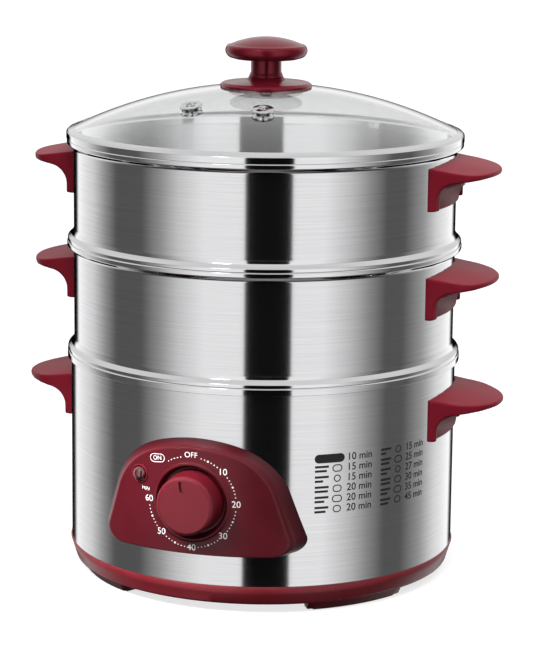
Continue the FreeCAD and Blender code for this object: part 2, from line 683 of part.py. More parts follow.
bracket_tip = stay_circle + S.bracket_toe
bracket_blanks = []
stays = []
nuts = []
for i, angle in enumerate(STAY_ANGLES):
    inside_pot = pot_radius - S.spare
    bracket_seat = S.bracket_height + S.bracket_sheet
    foot = block(f"bracket_foot_{i}", (inside_pot, -S.bracket_half, S.bracket_height),
                 (bracket_tip, S.bracket_half, bracket_seat))
    leg = block(f"bracket_leg_{i}", (inside_pot, -S.bracket_half, S.bracket_height),
                (pot_radius + S.bracket_sheet, S.bracket_half, S.bracket_height + S.bracket_leg))
    pot_side = cylinder(f"bracket_pot_{i}", pot_radius + S.weld_gap, S.bracket_leg + S.spare * 2,
                        z=S.bracket_height - S.spare)
    hole = cylinder(f"bracket_hole_{i}", S.stay_radius / 2 + S.slip_gap, S.spare * 2, stay_circle, 0,
                    S.bracket_height - S.spare)
    bracket = cut(f"bracket_{i}", fuse(f"bracket_blank_{i}", (foot, leg)), (pot_side, hole))
    bracket_blanks.append(put(bracket, turn=angle))
    rod = cylinder(f"stay_rod_{i}", S.stay_radius, S.bracket_height - ring_floor, stay_circle, 0,
                   ring_floor)
    stud = cylinder(f"stay_stud_{i}", S.stay_radius / 2, S.bracket_height + S.stay_stud - ring_floor,
                    stay_circle, 0, ring_floor)
    thread = cylinder(f"stay_thread_{i}", S.cover_screw_radius + S.weld_gap, S.cover_screw_length,
                      stay_circle, 0, ring_floor - S.cover_thickness)
    stay = cut(f"stay_{i}", fuse(f"stay_blank_{i}", (rod, stud)), (thread,))
    stays.append(put(stay, turn=angle))
    hexagon = doc.addObject("Part::Prism", f"nut_hexagon_{i}")
    hexagon.Polygon = 6
    bind(hexagon, Circumradius=S.stay_radius, Height=S.nut_height)
    put(hexagon, stay_circle, 0, bracket_seat)
    nut_bore = cylinder(f"nut_bore_{i}", S.stay_radius / 2 + S.weld_gap, S.nut_height + S.spare,
                        stay_circle, 0, S.bracket_height)
    nut = cut(f"stay_nut_{i}", hexagon, (nut_bore,))
    nuts.append(put(nut, turn=angle))
pot_brackets = group("pot_brackets", bracket_blanks)
stay_rods = group("stay_rods", stays)
stay_nuts = group("stay_nuts", nuts)

# ------------------------------------------------------------------ heating parts

plate_top = S.pot_floor - S.sheet
plate_low = plate_top - S.plate_thickness
plate_disc = cylinder("plate_disc", S.plate_radius, S.plate_thickness, z=plate_low)
groove = doc.addObject("Part::Torus", "element_groove")
bind(groove, Radius1=S.element_ring, Radius2=S.element_radius + S.seat_gap)
put(groove, z=plate_low)
heating_plate = cut("heating_plate", plate_disc, (groove,))

element_bend = doc.addObject("Part::Torus", "element_bend")
bind(element_bend, Radius1=S.element_ring, Radius2=S.element_radius, Angle3=S.element_sweep)
half_gap = (Size(360) - S.element_sweep) / 2
put(element_bend, z=plate_low, turn=QUARTER + half_gap)
element_parts = [element_bend]
for side in (1, -1):
    way = half_gap * side + QUARTER
    tail_x = S.element_ring * way.cosine()
    tail_y = S.element_ring * way.sine()
    tail = cylinder(f"element_tail_{1 + side}", S.element_radius, S.element_tail, tail_x, tail_y,
                    plate_low - S.element_tail)
    pin = cylinder(f"element_pin_{1 + side}", S.element_pin_radius, S.element_pin_length, tail_x, tail_y,
                   plate_low - S.element_tail - S.element_pin_length + S.overcut)
    element_parts.extend((tail, pin))
heating_element = fuse("heating_element", element_parts)

thermostat_can = cylinder("thermostat_can", S.thermostat_radius, S.thermostat_height,
                          z=plate_low - S.thermostat_height)
thermostat_ear = block("thermostat_ear", (-S.thermostat_ear / 2, -S.thermostat_strap / 2,
                                          plate_low - S.strap_thickness),
                       (S.thermostat_ear / 2, S.thermostat_strap / 2, plate_low))
tab_foot = plate_low - S.thermostat_height - S.thermostat_tab
thermostat_tabs = [block(f"thermostat_tab_{i}", (x - S.tab_thickness / 2, -S.tab_width / 2, tab_foot),
                         (x + S.tab_thickness / 2, S.tab_width / 2,
                          plate_low - S.thermostat_height + S.overcut))
                   for i, x in enumerate((-S.thermostat_radius / 2, S.thermostat_radius / 2))]
thermostat = fuse("thermostat", [thermostat_can, thermostat_ear] + thermostat_tabs)

fuse_line = -S.fuse_offset
fuse_axis = plate_low - S.fuse_radius - S.seat_gap
fuse_tube = cylinder("fuse_tube", S.fuse_radius, S.fuse_length, -S.fuse_length / 2, fuse_line, fuse_axis,
                     axis=RIGHT)
fuse_leads = cylinder("fuse_leads", S.lead_radius, S.fuse_span, -S.fuse_span / 2, fuse_line, fuse_axis,
                      axis=RIGHT)
thermal_fuse = fuse("thermal_fuse", (fuse_tube, fuse_leads))

# ------------------------------------------------------------------ control panel


def draw_panel_outline(sketch, ahead, inset):
    """Crown, shoulders, leaning sides and flat foot, inset all round, at a distance from the axis.
    The side walls lean in towards the front, all but the one along the foot."""
    lean = S.panel_lean.sine() / S.panel_lean.cosine()
    shrink = (as_size(ahead) - S.housing_radius) * lean + inset
    crown = S.panel_crown_radius - shrink
    shoulder = S.panel_shoulder_radius - shrink
    crown_z = S.panel_top - S.panel_crown_radius
    apart = S.panel_crown_radius - S.panel_shoulder_radius
    shoulder_x = apart * S.panel_crown_span.sine()
    shoulder_z = crown_z + apart * S.panel_crown_span.cosine()
    joint_x = crown * S.panel_crown_span.sine()
    joint_z = crown_z + crown * S.panel_crown_span.cosine()
    side_x = shoulder_x + shoulder * S.panel_side_lean.cosine()
    side_z = shoulder_z + shoulder * S.panel_side_lean.sine()
    foot_z = S.panel_foot + inset
    foot_x = side_x + (side_z - foot_z) * S.panel_side_lean.sine() / S.panel_side_lean.cosine()
    half_corner = (QUARTER - S.panel_side_lean) / 2
    tangent = S.panel_corner * half_corner.cosine() / half_corner.sine()
    corner_x = foot_x - tangent * S.panel_side_lean.sine()
    corner_z = foot_z + tangent * S.panel_side_lean.cosine()
    draw_outline(sketch, (
        (-side_x, side_z),
        (-corner_x, corner_z),
        (tangent - foot_x, foot_z),
        (foot_x - tangent, foot_z),
        (corner_x, corner_z),
        (side_x, side_z),
        (joint_x, joint_z),
        (-joint_x, joint_z)),
        bends={1: S.panel_corner, 3: S.panel_corner, 5: shoulder, 6: crown, 7: shoulder})


def panel_block(label, inset, front):
    """The panel's outline from well inside the housing out to a cylinder about the steamer's axis."""
    body = new_body(f"{label}_arch")
    ends = []
    for name, ahead in (("back", S.housing_radius - S.panel_root), ("front", front + S.spare)):
        sketch = new_sketch(body, f"{label}_{name}", "XZ_Plane", offset=ahead)
        draw_panel_outline(sketch, ahead, inset)
        ends.append(sketch)
    loft = body.newObject("PartDesign::AdditiveLoft", f"{label}_loft")
    loft.Profile = ends[0]
    loft.Sections = [ends[1]]
    loft.Ruled = True
    drum = cylinder(f"{label}_drum", front, S.panel_top * 2)
    return common(label, body, drum)


def toward_front(angle, radius):
    """Place and outward direction on a cylinder, at an angle right of the dial."""
    angle = as_size(angle)
    x = as_size(radius) * angle.sine()
    y = -(as_size(radius) * angle.cosine())
    return x, y, Vector(angle.sine().number, -angle.cosine().number, 0)


panel_radius = S.housing_radius + S.panel_depth
panel_outer = panel_block("panel_outer", ZERO, panel_radius)
panel_inner = panel_block("panel_inner", S.panel_wall, panel_radius - S.panel_wall)
inner_drum = cylinder("panel_hollow_drum", S.housing_radius + S.weld_gap, S.panel_top * 2)
hollow_panel = cut("panel_shell", panel_outer, (panel_inner,))

well_floor = panel_radius - S.dial_well_depth
well_back = well_floor - S.dial_well_floor
cup = common("dial_cup", cylinder("dial_cup_tube", S.dial_well_radius + S.dial_well_wall,
                                  S.dial_well_depth + S.dial_well_floor + S.spare, 0, -well_back,
                                  S.dial_height, FRONT),
             cylinder("dial_cup_drum", panel_radius, S.panel_top * 2))
well_cutter = turned("dial_well", (
    (ZERO, ZERO),
    (S.dial_well_radius - S.dial_well_slope, ZERO),
    (S.dial_well_radius, S.dial_well_depth),
    (S.dial_well_radius, S.dial_well_depth + S.spare),
    (ZERO, S.dial_well_depth + S.spare)))
put(well_cutter, 0, -well_floor, S.dial_height, FRONT)
bush_radius = S.shaft_radius + S.bush_wall
bush_hole = cylinder("bush_hole", bush_radius + S.slip_gap, S.dial_well_floor + S.spare * 2, 0,
                     -(well_back - S.spare), S.dial_height, FRONT)
timer_screw_holes = [cylinder(f"timer_screw_hole_{i}", small_screw_hole,
                              S.dial_well_floor + S.spare * 2, S.timer_screw_spread * side,
                              -(well_back - S.spare), S.dial_height, FRONT)
                     for i, side in enumerate((1, -1))]


def lamp_cylinder(name, radius, start, length):
    """Cylinder on the lamp's axis, from a depth behind the panel's front face."""
    x, y, way = toward_front(-S.lamp_angle, panel_radius - start)
    return cylinder(name, radius, length, x, y, S.lamp_height, way)


lamp_hole = lamp_cylinder("lamp_hole", S.lamp_radius - S.lamp_ledge, S.panel_depth, S.panel_depth * 2)
bezel_outer = lamp_cylinder("bezel_outer", S.lamp_radius + S.bezel_width, S.bezel_root,
                            S.bezel_root + S.bezel_height)
boss_low = S.panel_foot + S.boss_low_rise
boss_high = S.panel_top - S.boss_high_drop
BOSSES = ((S.boss_low_angle, boss_low), (-S.boss_low_angle, boss_low),
          (S.boss_high_angle, boss_high), (-S.boss_high_angle, boss_high))
bosses = []
boss_holes = []
panel_screw_set = []
housing_screw_holes = []
for i, (angle, z) in enumerate(BOSSES):
    x, y, way = toward_front(angle, S.housing_radius - S.overcut)
    bosses.append(cylinder(f"boss_{i}", S.boss_radius, S.panel_depth, x, y, z, way))
    boss_holes.append(cylinder(f"boss_hole_{i}", small_screw_thread,
                               S.overcut + S.panel_screw_length + S.boss_spare, x, y, z, way))
    x, y, way = toward_front(angle, S.housing_radius - S.sheet - S.slip_gap)
    panel_screw_set.append(screw(f"panel_screw_{i}", S.small_screw_radius, S.panel_screw_length,
                                 S.small_screw_head, S.small_head_height, x=x, y=y, z=z, axis=way))
    x, y, way = toward_front(angle, S.housing_radius - S.spare)
    housing_screw_holes.append(cylinder(f"housing_screw_hole_{i}", small_screw_hole, S.spare * 2,
                                        x, y, z, way))
panel_solid = fuse("panel_solid", [hollow_panel, cup, bezel_outer] + bosses)
control_panel = face_front(cut("control_panel", panel_solid,
                               [inner_drum, well_cutter, bush_hole, lamp_hole]
                               + timer_screw_holes + boss_holes))
panel_screws = face_front(group("panel_screws", panel_screw_set))

lens_front = S.bezel_height + S.weld_gap
lamp_stem = lamp_cylinder("lamp_stem", S.lamp_radius - S.lamp_ledge - S.slip_gap, S.lens_stem,
                          S.lens_stem + lens_front + S.slip_gap)
lamp_dome = doc.addObject("Part::Sphere", "lamp_dome")
bind(lamp_dome, Radius=S.lamp_radius)
dome_x, dome_y, _ = toward_front(-S.lamp_angle, panel_radius - S.lens_sink)
put(lamp_dome, dome_x, dome_y, S.lamp_height)
lamp_front = lamp_cylinder("lamp_front", S.lamp_radius, -lens_front, S.lamp_radius * 2)
lamp_lens_bore = lamp_cylinder("lamp_lens_bore", S.bulb_radius + S.slip_gap, S.lens_bore,
                               S.lens_bore + S.overcut)
lamp_lens = face_front(cut("indicator_lens", fuse("lens_blank", (
    lamp_stem, common("lens_dome", lamp_dome, lamp_front))), (lamp_lens_bore,)))
neon_lamp = face_front(fuse("indicator_lamp", (
    lamp_cylinder("lamp_bulb", S.bulb_radius, S.bulb_length - S.bulb_tip, S.bulb_length),
    lamp_cylinder("lamp_foot", S.bulb_foot_radius,
                  S.bulb_length - S.bulb_tip + S.bulb_foot_length - S.overcut, S.bulb_foot_length))))

# housing with its openings

timer_half = S.timer_width / 2
opening = timer_half + S.timer_gap
timer_window = block("timer_window", (-opening, -S.housing_radius - S.spare, S.dial_height - opening),
                     (opening, -S.housing_radius + opening, S.dial_height + opening))
lamp_window = lamp_cylinder("lamp_window", S.lamp_radius + S.overcut, S.panel_depth * 2, S.panel_depth * 1.5)
front_openings = face_front(fuse("front_openings", [timer_window, lamp_window] + housing_screw_holes))
inlet_low = S.inlet_height - S.inlet_mouth_height / 2 - S.inlet_wall
inlet_high = S.inlet_height + S.inlet_mouth_height / 2 + S.inlet_wall
inlet_half = S.inlet_mouth_width / 2 + S.inlet_wall
window_half = inlet_half + S.slip_gap
inlet_window = block("inlet_window", (-window_half, S.housing_radius - window_half, inlet_low - S.slip_gap),
                     (window_half, S.housing_radius + S.spare, inlet_high + S.slip_gap))
inlet_screw_holes = [cylinder(f"inlet_screw_window_{i}", small_screw_hole, S.spare * 2,
                              S.inlet_screw_spread * side, S.housing_radius - S.spare * 1.5,
                              S.inlet_height, BACK)
                     for i, side in enumerate((1, -1))]
outer_housing = cut("outer_housing", housing_shell,
                    [front_openings, inlet_window] + inlet_screw_holes)

# ------------------------------------------------------------------ timer

case_front = well_back - S.weld_gap
case_back = case_front - S.timer_depth
timer_case = block("timer_case", (-timer_half, -case_front, S.dial_height - timer_half),
                   (timer_half, -case_back, S.dial_height + timer_half))
timer_bush = cylinder("timer_bush", bush_radius, well_floor - S.bush_drop - case_front + S.overcut, 0,
                      -case_front + S.overcut, S.dial_height, FRONT)
shaft_back = case_back + S.timer_wall
shaft_bore = cylinder("shaft_bore", S.shaft_radius + S.shaft_running, S.timer_depth * 2, 0,
                      -shaft_back + S.shaft_end_gap, S.dial_height, FRONT)
timer_bores = [cylinder(f"timer_bore_{i}", small_screw_thread, S.timer_bore + S.spare,
                        S.timer_screw_spread * side, -(case_front - S.timer_bore), S.dial_height, FRONT)
               for i, side in enumerate((1, -1))]
tab_low = S.dial_height - timer_half + S.timer_tab_rise
timer_tabs = [block(f"timer_tab_{i}", (x - S.tab_width / 2, -case_back, tab_low),
                    (x + S.tab_width / 2, -case_back + S.timer_tab, tab_low + S.tab_thickness))
              for i, x in enumerate((-S.timer_width / 4, ZERO, S.timer_width / 4))]
timer_body = face_front(cut("timer_body", fuse("timer_blank", [timer_case, timer_bush] + timer_tabs),
                            [shaft_bore] + timer_bores))
timer_screws = face_front(group("timer_screws", [
    screw(f"timer_screw_{i}", S.small_screw_radius, S.timer_screw_length, S.small_screw_head,
          S.small_head_height, x=S.timer_screw_spread * side, y=-well_floor, z=S.dial_height, axis=BACK)
    for i, side in enumerate((1, -1))]))

knob_back = well_floor + S.knob_gap
shaft_length = knob_back + S.knob_length - S.shaft_short - shaft_back
shaft_round = cylinder("shaft_round", S.shaft_radius, shaft_length, 0, -shaft_back, S.dial_height, FRONT)
flat_depth = S.shaft_radius * 0.5
shaft_flat = block("shaft_flat", (-bush_radius, -(knob_back + S.knob_length), S.dial_height + flat_depth),
                   (bush_radius, -(knob_back + S.overcut), S.dial_height + bush_radius))
timer_shaft = face_front(cut("timer_shaft", shaft_round, (shaft_flat,)))

hub_radius = S.shaft_radius + S.hub_wall
key_end = S.knob_length - S.knob_web - 0.4
knob_face = knob_back + S.knob_length
knob_turned = turned("knob_turned", (
    (S.shaft_radius + S.shaft_press, ZERO),
    (hub_radius, ZERO),
    (hub_radius, S.knob_length - S.knob_web),
    (S.knob_face_radius - 1.5, S.knob_length - S.knob_web),
    (S.knob_radius - S.knob_wall, ZERO),
    (S.knob_radius, ZERO),
    (S.knob_radius, S.knob_skirt),
    (S.knob_radius - S.knob_taper, S.knob_length - S.knob_edge),
    (S.knob_face_radius, S.knob_length),
    (ZERO, S.knob_length),
    (ZERO, key_end),
    (S.shaft_radius + S.shaft_press, key_end)),
    bends={7: S.knob_edge_round})
put(knob_turned, 0, -knob_back, S.dial_height, FRONT)
pointer_cut = doc.addObject("Part::Box", "pointer_cut")
bind(pointer_cut, Length=S.pointer_width, Width=S.pointer_depth + S.overcut,
     Height=S.pointer_outer - S.pointer_inner)
put(pointer_cut,
    -(S.pointer_width / 2 * S.pointer_turn.cosine() + S.pointer_inner * S.pointer_turn.sine()),
    -knob_face - S.overcut,
    S.dial_height + S.pointer_inner * S.pointer_turn.cosine() - S.pointer_width / 2 * S.pointer_turn.sine())
pointer_cut.Placement.Rotation = Rotation(BACK, -S.pointer_turn.number)
bore_key = block("bore_key", (-2.8, -(knob_back + key_end), S.dial_height + flat_depth + 0.05),
                 (2.8, -(knob_back + 1.2), S.dial_height + S.shaft_radius + 0.5))
timer_knob = face_front(cut("timer_knob", fuse("knob_keyed", (knob_turned, bore_key)), (pointer_cut,)))

# ------------------------------------------------------------------ power inlet

flange_face = S.housing_radius + S.inlet_flange_depth
inlet_face = S.housing_radius + S.inlet_reach
flange = block("inlet_flange", (-S.inlet_flange_width / 2, S.housing_radius - S.spare * 2,
                                S.inlet_height - S.inlet_flange_height / 2),
               (S.inlet_flange_width / 2, flange_face,
                S.inlet_height + S.inlet_flange_height / 2))
inlet_drum = cylinder("inlet_drum", S.housing_radius + S.weld_gap,
                      S.inlet_height + S.inlet_flange_height)
curved_flange = cut("inlet_curved_flange", flange, (inlet_drum,))
mouth_floor = inlet_face - S.inlet_mouth_depth
inlet_back = mouth_floor - S.inlet_wall - S.inlet_cavity
socket = block("inlet_socket", (-inlet_half, inlet_back, inlet_low), (inlet_half, inlet_face, inlet_high))
inlet_mouth = block("inlet_mouth", (-S.inlet_mouth_width / 2, mouth_floor,
                                    S.inlet_height - S.inlet_mouth_height / 2),
                    (S.inlet_mouth_width / 2, inlet_face + S.spare,
                     S.inlet_height + S.inlet_mouth_height / 2))
inlet_hollow = block("inlet_hollow", (-S.inlet_mouth_width / 2, inlet_back - S.overcut,
                                      S.inlet_height - S.inlet_mouth_height / 2),
                     (S.inlet_mouth_width / 2, mouth_floor - S.inlet_wall,
                      S.inlet_height + S.inlet_mouth_height / 2))
inlet_holes = [cylinder(f"inlet_hole_{i}", small_screw_hole, S.spare * 5, S.inlet_screw_spread * side,
                        S.housing_radius - S.spare * 3, S.inlet_height, BACK)
               for i, side in enumerate((1, -1))]
PINS = ((-S.pin_spread, -S.pin_offset), (S.pin_spread, -S.pin_offset), (ZERO, S.pin_offset))
pin_slots = []
pin_blades = []


def pin_block(name, x, z, grow, back, front):
    """Block of one blade's section, grown all round, between two distances from the axis."""
    half = S.pin_width / 2 + grow
    tall = S.pin_height / 2 + grow
    middle = S.inlet_height + z
    return block(name, (x - half, back, middle - tall), (x + half, front, middle + tall))


for i, (x, z) in enumerate(PINS):
    pin_slots.append(pin_block(f"pin_slot_{i}", x, z, S.weld_gap, mouth_floor - S.inlet_wall - S.overcut,
                               mouth_floor + S.overcut))
    pin_blades.append(pin_block(f"pin_blade_{i}", x, z, ZERO, inlet_back - S.pin_tail,
                                inlet_face - S.pin_recess))
power_inlet = cut("power_inlet", fuse("inlet_blank", (curved_flange, socket)),
                  [inlet_mouth, inlet_hollow] + inlet_holes + pin_slots)
inlet_pins = group("inlet_pins", pin_blades)
inlet_screws = group("inlet_screws", [
    screw(f"inlet_screw_{i}", S.small_screw_radius, S.inlet_screw_length, S.small_screw_head,
          S.small_head_height, x=S.inlet_screw_spread * side, y=flange_face, z=S.inlet_height, axis=FRONT)
    for i, side in enumerate((1, -1))])

# ------------------------------------------------------------------ handles


def draw_shelf_plan(sketch, wall, reach, half):
    """Plan of a shelf: leaning sides, round corners and one flat arc across the tip."""
    tip = wall + reach
    inward = S.handle_root + S.overcut
    root = wall + S.handle_straight - inward
    side_x = wall + S.handle_straight
    slope = S.handle_lean.sine() / S.handle_lean.cosine()
    root_half = half + slope * inward
    centre_x = side_x + S.handle_corner * S.handle_lean.sine()
    centre_y = half - S.handle_corner * S.handle_lean.cosine()
    depth = tip - centre_x
    nose = ((depth * depth + centre_y * centre_y - S.handle_corner * S.handle_corner)
            / ((depth - S.handle_corner) * 2))
    stretch = nose / (nose - S.handle_corner)
    nose_x = tip - nose + (centre_x - tip + nose) * stretch
    nose_y = centre_y * stretch
    draw_outline(sketch, (
        (root, -root_half),
        (side_x, -half),
        (nose_x, -nose_y),
        (nose_x, nose_y),
        (side_x, half),
        (root, root_half)),
        bends={1: S.handle_corner, 2: nose, 3: S.handle_corner})


def handle(label, wall, top, reach, half, turn):
    """Moulded side handle: a round-cornered shelf, crowned from side to side and falling to its tip,
    over a hollow that sweeps down to a plate on the wall."""
    body = new_body(f"{label}_moulding")
    tip = wall + reach
    foot = top - S.handle_drop
    edge_low = top - S.handle_fall - S.handle_edge
    inside = wall - S.handle_root
    above = top + S.handle_fall
    arc_x = wall + S.handle_plate + S.handle_sweep
    arc_z = foot + S.handle_heel
    side = new_sketch(body, f"{label}_side", "XZ_Plane")
    draw_outline(side, (
        (inside, above),
        (inside, foot),
        (wall + S.handle_plate, foot),
        (wall + S.handle_plate, arc_z),
        (arc_x, arc_z + S.handle_sweep),
        (tip + S.spare, edge_low),
        (tip + S.spare, above)),
        bends={3: -S.handle_sweep})
    revolve(body, side, f"{label}_swept", angle=Size(60))
    plan = new_sketch(body, f"{label}_plan", "XY_Plane")
    draw_shelf_plan(plan, wall, reach, half)
    far = tip * 2
    draw_outline(plan, ((ZERO, -far), (far, -far), (far, far), (ZERO, far)))
    pocket(body, plan, f"{label}_trimmed")
    scoop = new_sketch(body, f"{label}_scoop", "XZ_Plane")
    scoop_back = wall + S.scoop_floor
    scoop_front = scoop_back + S.scoop_radius
    draw_outline(scoop, (
        (scoop_back, foot - S.overcut),
        (scoop_back, foot),
        (scoop_front, foot + S.scoop_radius),
        (scoop_front, foot - S.overcut)),
        bends={1: -S.scoop_radius})
    revolve(body, scoop, f"{label}_scooped", kind="Groove", angle=S.scoop_span)
    slope_length = (reach * reach + S.handle_fall * S.handle_fall).root()
    down = S.handle_fall / slope_length
    along = reach / slope_length
    crown = cylinder(f"{label}_crown", S.handle_crown, tip,
                     wall - down * S.handle_crown - along * wall / 2, 0,
                     top - along * S.handle_crown + down * wall / 2, Vector(along.number, 0, -down.number))
    crowned = common(f"{label}_crowned", body, crown)
    drum = cylinder(f"{label}_wall", wall + S.weld_gap, S.handle_drop * 2, z=top - S.handle_drop * 1.5)
    half_block = S.block_width / 2 + S.slip_gap
    half_high = S.block_height / 2 + S.slip_gap
    screw_z = top - S.handle_screw_drop
    nest = block(f"{label}_nest", (wall - S.spare, -half_block, screw_z - half_high),
                 (wall + S.block_depth + S.slip_gap, half_block, screw_z + half_high))
    hole = cylinder(f"{label}_hole", S.handle_screw_radius + S.slip_gap, reach, wall, 0, screw_z, RIGHT)
    recess = cylinder(f"{label}_recess", S.handle_screw_head + S.head_gap, reach,
                      wall + S.handle_screw_seat, 0, screw_z, RIGHT)
    return put(cut(label, crowned, (drum, nest, hole, recess)), turn=turn)


def handle_set(prefix, wall, top, reach, half):
    """A left and a right handle with their welded steel blocks and screws."""
    right = handle(f"{prefix}_handle_right", wall, top, reach, half, 0)
    left = handle(f"{prefix}_handle_left", wall, top, reach, half, 180)
    screw_z = top - S.handle_screw_drop
    blocks = []
    screws = []
    for i, turn in enumerate((0, 180)):
        way = RIGHT if turn == 0 else -RIGHT
        blank = block(f"{prefix}_block_{i}_blank",
                      (wall - S.spare, -S.block_width / 2, screw_z - S.block_height / 2),
                      (wall + S.block_depth, S.block_width / 2, screw_z + S.block_height / 2))
        drum = cylinder(f"{prefix}_block_{i}_wall", wall + S.weld_gap, S.handle_drop * 2,
                        z=top - S.handle_drop * 1.5)
        bore = cylinder(f"{prefix}_block_{i}_bore", S.handle_screw_radius + S.weld_gap, S.spare * 2, wall, 0,
                        screw_z, RIGHT)
        blocks.append(put(cut(f"{prefix}_block_{i}", blank, (drum, bore)), turn=turn))
        screws.append(screw(f"{prefix}_handle_screw_{i}", S.handle_screw_radius, S.handle_screw_length,
                            S.handle_screw_head, S.handle_head_height,
                            x=(wall + S.handle_screw_seat) * way.x, z=screw_z, axis=way * -1))
    return [right, left, group(f"{prefix}_handle_brackets", blocks),
            group(f"{prefix}_handle_screws", screws)]


# ------------------------------------------------------------------ baskets


def basket(label, foot, top):
    """Pressed basket: rolled rim, wall, polished bead, nesting neck and perforated floor."""
    floor = foot - S.nest_depth
    inner_neck = neck - S.sheet
    band_low = top - S.rim_band
    flare_low = band_low - S.rim_flare
    shell = turned(f"{label}_shell", (
        (ZERO, floor),
        (neck - S.floor_corner, floor),
        (neck, floor + S.floor_corner),
        (neck, foot),
        (bead_radius, foot),
        (bead_radius, foot + S.bead_edge),
        (vessel_radius, foot + S.bead_height),
        (vessel_radius, flare_low),
        (rim_radius, band_low),
        (rim_radius, top - S.rim_round),
        (rim_radius - S.rim_round, top),
        (land, top),
        (mouth, flare_low + S.sheet * 0.75),
        (mouth, foot + S.bead_height + S.bead_step),
        (bead_radius - S.sheet, foot + S.bead_edge + S.bead_step),
        (bead_radius - S.sheet, foot + S.sheet),
        (inner_neck, foot + S.sheet),
        (inner_neck, floor + S.floor_corner + S.sheet / 2),
        (inner_neck - S.floor_corner + S.sheet / 2, floor + S.sheet),
        (ZERO, floor + S.sheet)),
        bends={5: -S.bead_curve, 9: S.rim_round, 13: S.sheet + S.bead_curve})
    holes = []
    for ring, count in ((0, 1), (1, 6), (2, 12), (3, 18)):
        for i in range(count):
            turn = Size(360.0 * i / count)
            away = S.steam_ring_pitch * ring
            holes.append(cylinder(f"{label}_steam_{ring}_{i}", S.steam_hole_radius, S.spare,
                                  away * turn.cosine(), away * turn.sine(), floor - S.overcut))
    return cut(label, shell, holes)


middle_basket = basket("middle_basket", S.base_height, middle_top)
upper_basket = basket("upper_basket", middle_top, upper_top)
base_handles = handle_set("base", S.housing_radius, S.base_height - S.base_handle_drop,
                          S.base_handle_reach, S.base_handle_half)
middle_handles = handle_set("middle", vessel_radius, middle_top - S.middle_handle_drop, S.handle_reach,
                            S.handle_half)
upper_handles = handle_set("upper", vessel_radius, upper_top - S.upper_handle_drop, S.handle_reach,
                           S.handle_half)

# ------------------------------------------------------------------ lid

post_hole = S.post_radius + S.post_gap
glass_blank = turned("glass_blank", (
    (post_hole, dome(post_hole, inner_dome_radius)),
    (glass_radius, dome(glass_radius, inner_dome_radius)),
    (glass_radius, dome(glass_radius)),
    (post_hole, dome(post_hole))),
    bends={0: -inner_dome_radius, 2: S.dome_radius})


def vent_frame(side):
    """Placement of a vent: on the dome, along its normal."""
    turn = S.vent_spread.number * side - S.lid_turn.number
    out = Vector(math.sin(math.radians(turn)), -math.cos(math.radians(turn)), 0)
    point = out * S.vent_circle.number + UP * dome(S.vent_circle).number
    normal = (point - UP * dome_centre.number).normalize()
    return Placement(point, Rotation(UP, normal))


vent_holes = []
vents = []
for name, side in (("left", -1), ("right", 1)):
    vent_hole = cylinder(f"vent_hole_{name}", S.vent_neck + S.slip_gap, Size(20))
    vent_hole.Placement = vent_frame(side) * Placement(Vector(0, 0, -10), Rotation())
    vent_holes.append(vent_hole)
    crimp = S.glass_thickness + S.glass_gap
    bore = S.vent_neck - S.vent_wall
    cap_top = S.vent_lift + S.vent_cap
    vent_turned = turned(f"vent_{name}_turned", (
        (bore, -crimp - S.vent_crimp),
        (S.vent_radius - 1, -crimp - S.vent_crimp),
        (S.vent_radius - 1, -crimp),
        (S.vent_neck, -crimp),
        (S.vent_neck, S.glass_gap),
        (S.vent_radius - 0.9, S.glass_gap),
        (S.vent_radius - 0.9, S.vent_lift),
        (S.vent_radius, S.vent_lift),
        (S.vent_radius, cap_top - 0.4),
        (S.vent_radius - 0.5, cap_top),
        (ZERO, cap_top),
        (ZERO, S.vent_lift),
        (bore, S.vent_lift)))
    slots = [cylinder(f"vent_{name}_eye", S.vent_eye, S.spare, z=1)]
    for i in range(4):
        slot = block(f"vent_{name}_slot_{i}", (S.vent_slot_start, -S.vent_slot / 2, S.overcut),
                     (bore - S.slip_gap, S.vent_slot / 2, S.overcut + S.spare))
        slots.append(put(group(f"vent_{name}_slot_turned_{i}", (slot,)), turn=45 + 90 * i))
    vent = cut(f"steam_vent_{name}", vent_turned, slots)
    vent.Placement = vent_frame(side)
    vents.append(vent)
lid_glass = cut("lid_glass", glass_blank, vent_holes)

glass_seat = upper_top + S.sheet
lid_rim_radius = rim_radius + S.lid_overhang
lid_lip = rim_radius - S.lid_lip
lid_rim = turned("lid_rim", (
    (lid_rim_radius, upper_top),
    (lid_rim_radius, upper_top + S.lid_band),
    (lid_rim_radius - 1.2, dome(lid_rim_radius - 1.2) + 1.0),
    (lid_lip, dome(lid_lip) + 0.9),
    (lid_lip, dome(lid_lip) + 0.1),
    (lid_rim_radius - 1, dome(lid_rim_radius - 1) + 0.1),
    (lid_rim_radius - 1, glass_seat),
    (neck - S.sheet, glass_seat),
    (neck - S.sheet, upper_top - S.lid_skirt),
    (neck, upper_top - S.lid_skirt),
    (neck, upper_top)))

seat_curve = S.dome_radius + S.seat_gap
knob_foot = glass_top + S.knob_seat_rise
lid_knob_base = turned("lid_knob_base", (
    (post_hole, dome(post_hole, seat_curve)),
    (S.flange_radius, dome(S.flange_radius, seat_curve)),
    (S.flange_radius + 0.4, dome(S.flange_radius) + 1.7),
    (S.flange_radius - 1.8, dome(S.flange_radius) + 3.2),
    (S.neck_radius + 3.4, knob_foot - 1.6),
    (S.neck_radius + 1.8, knob_foot),
    (post_hole, knob_foot)),
    bends={0: -seat_curve, 2: Size(2.4)})

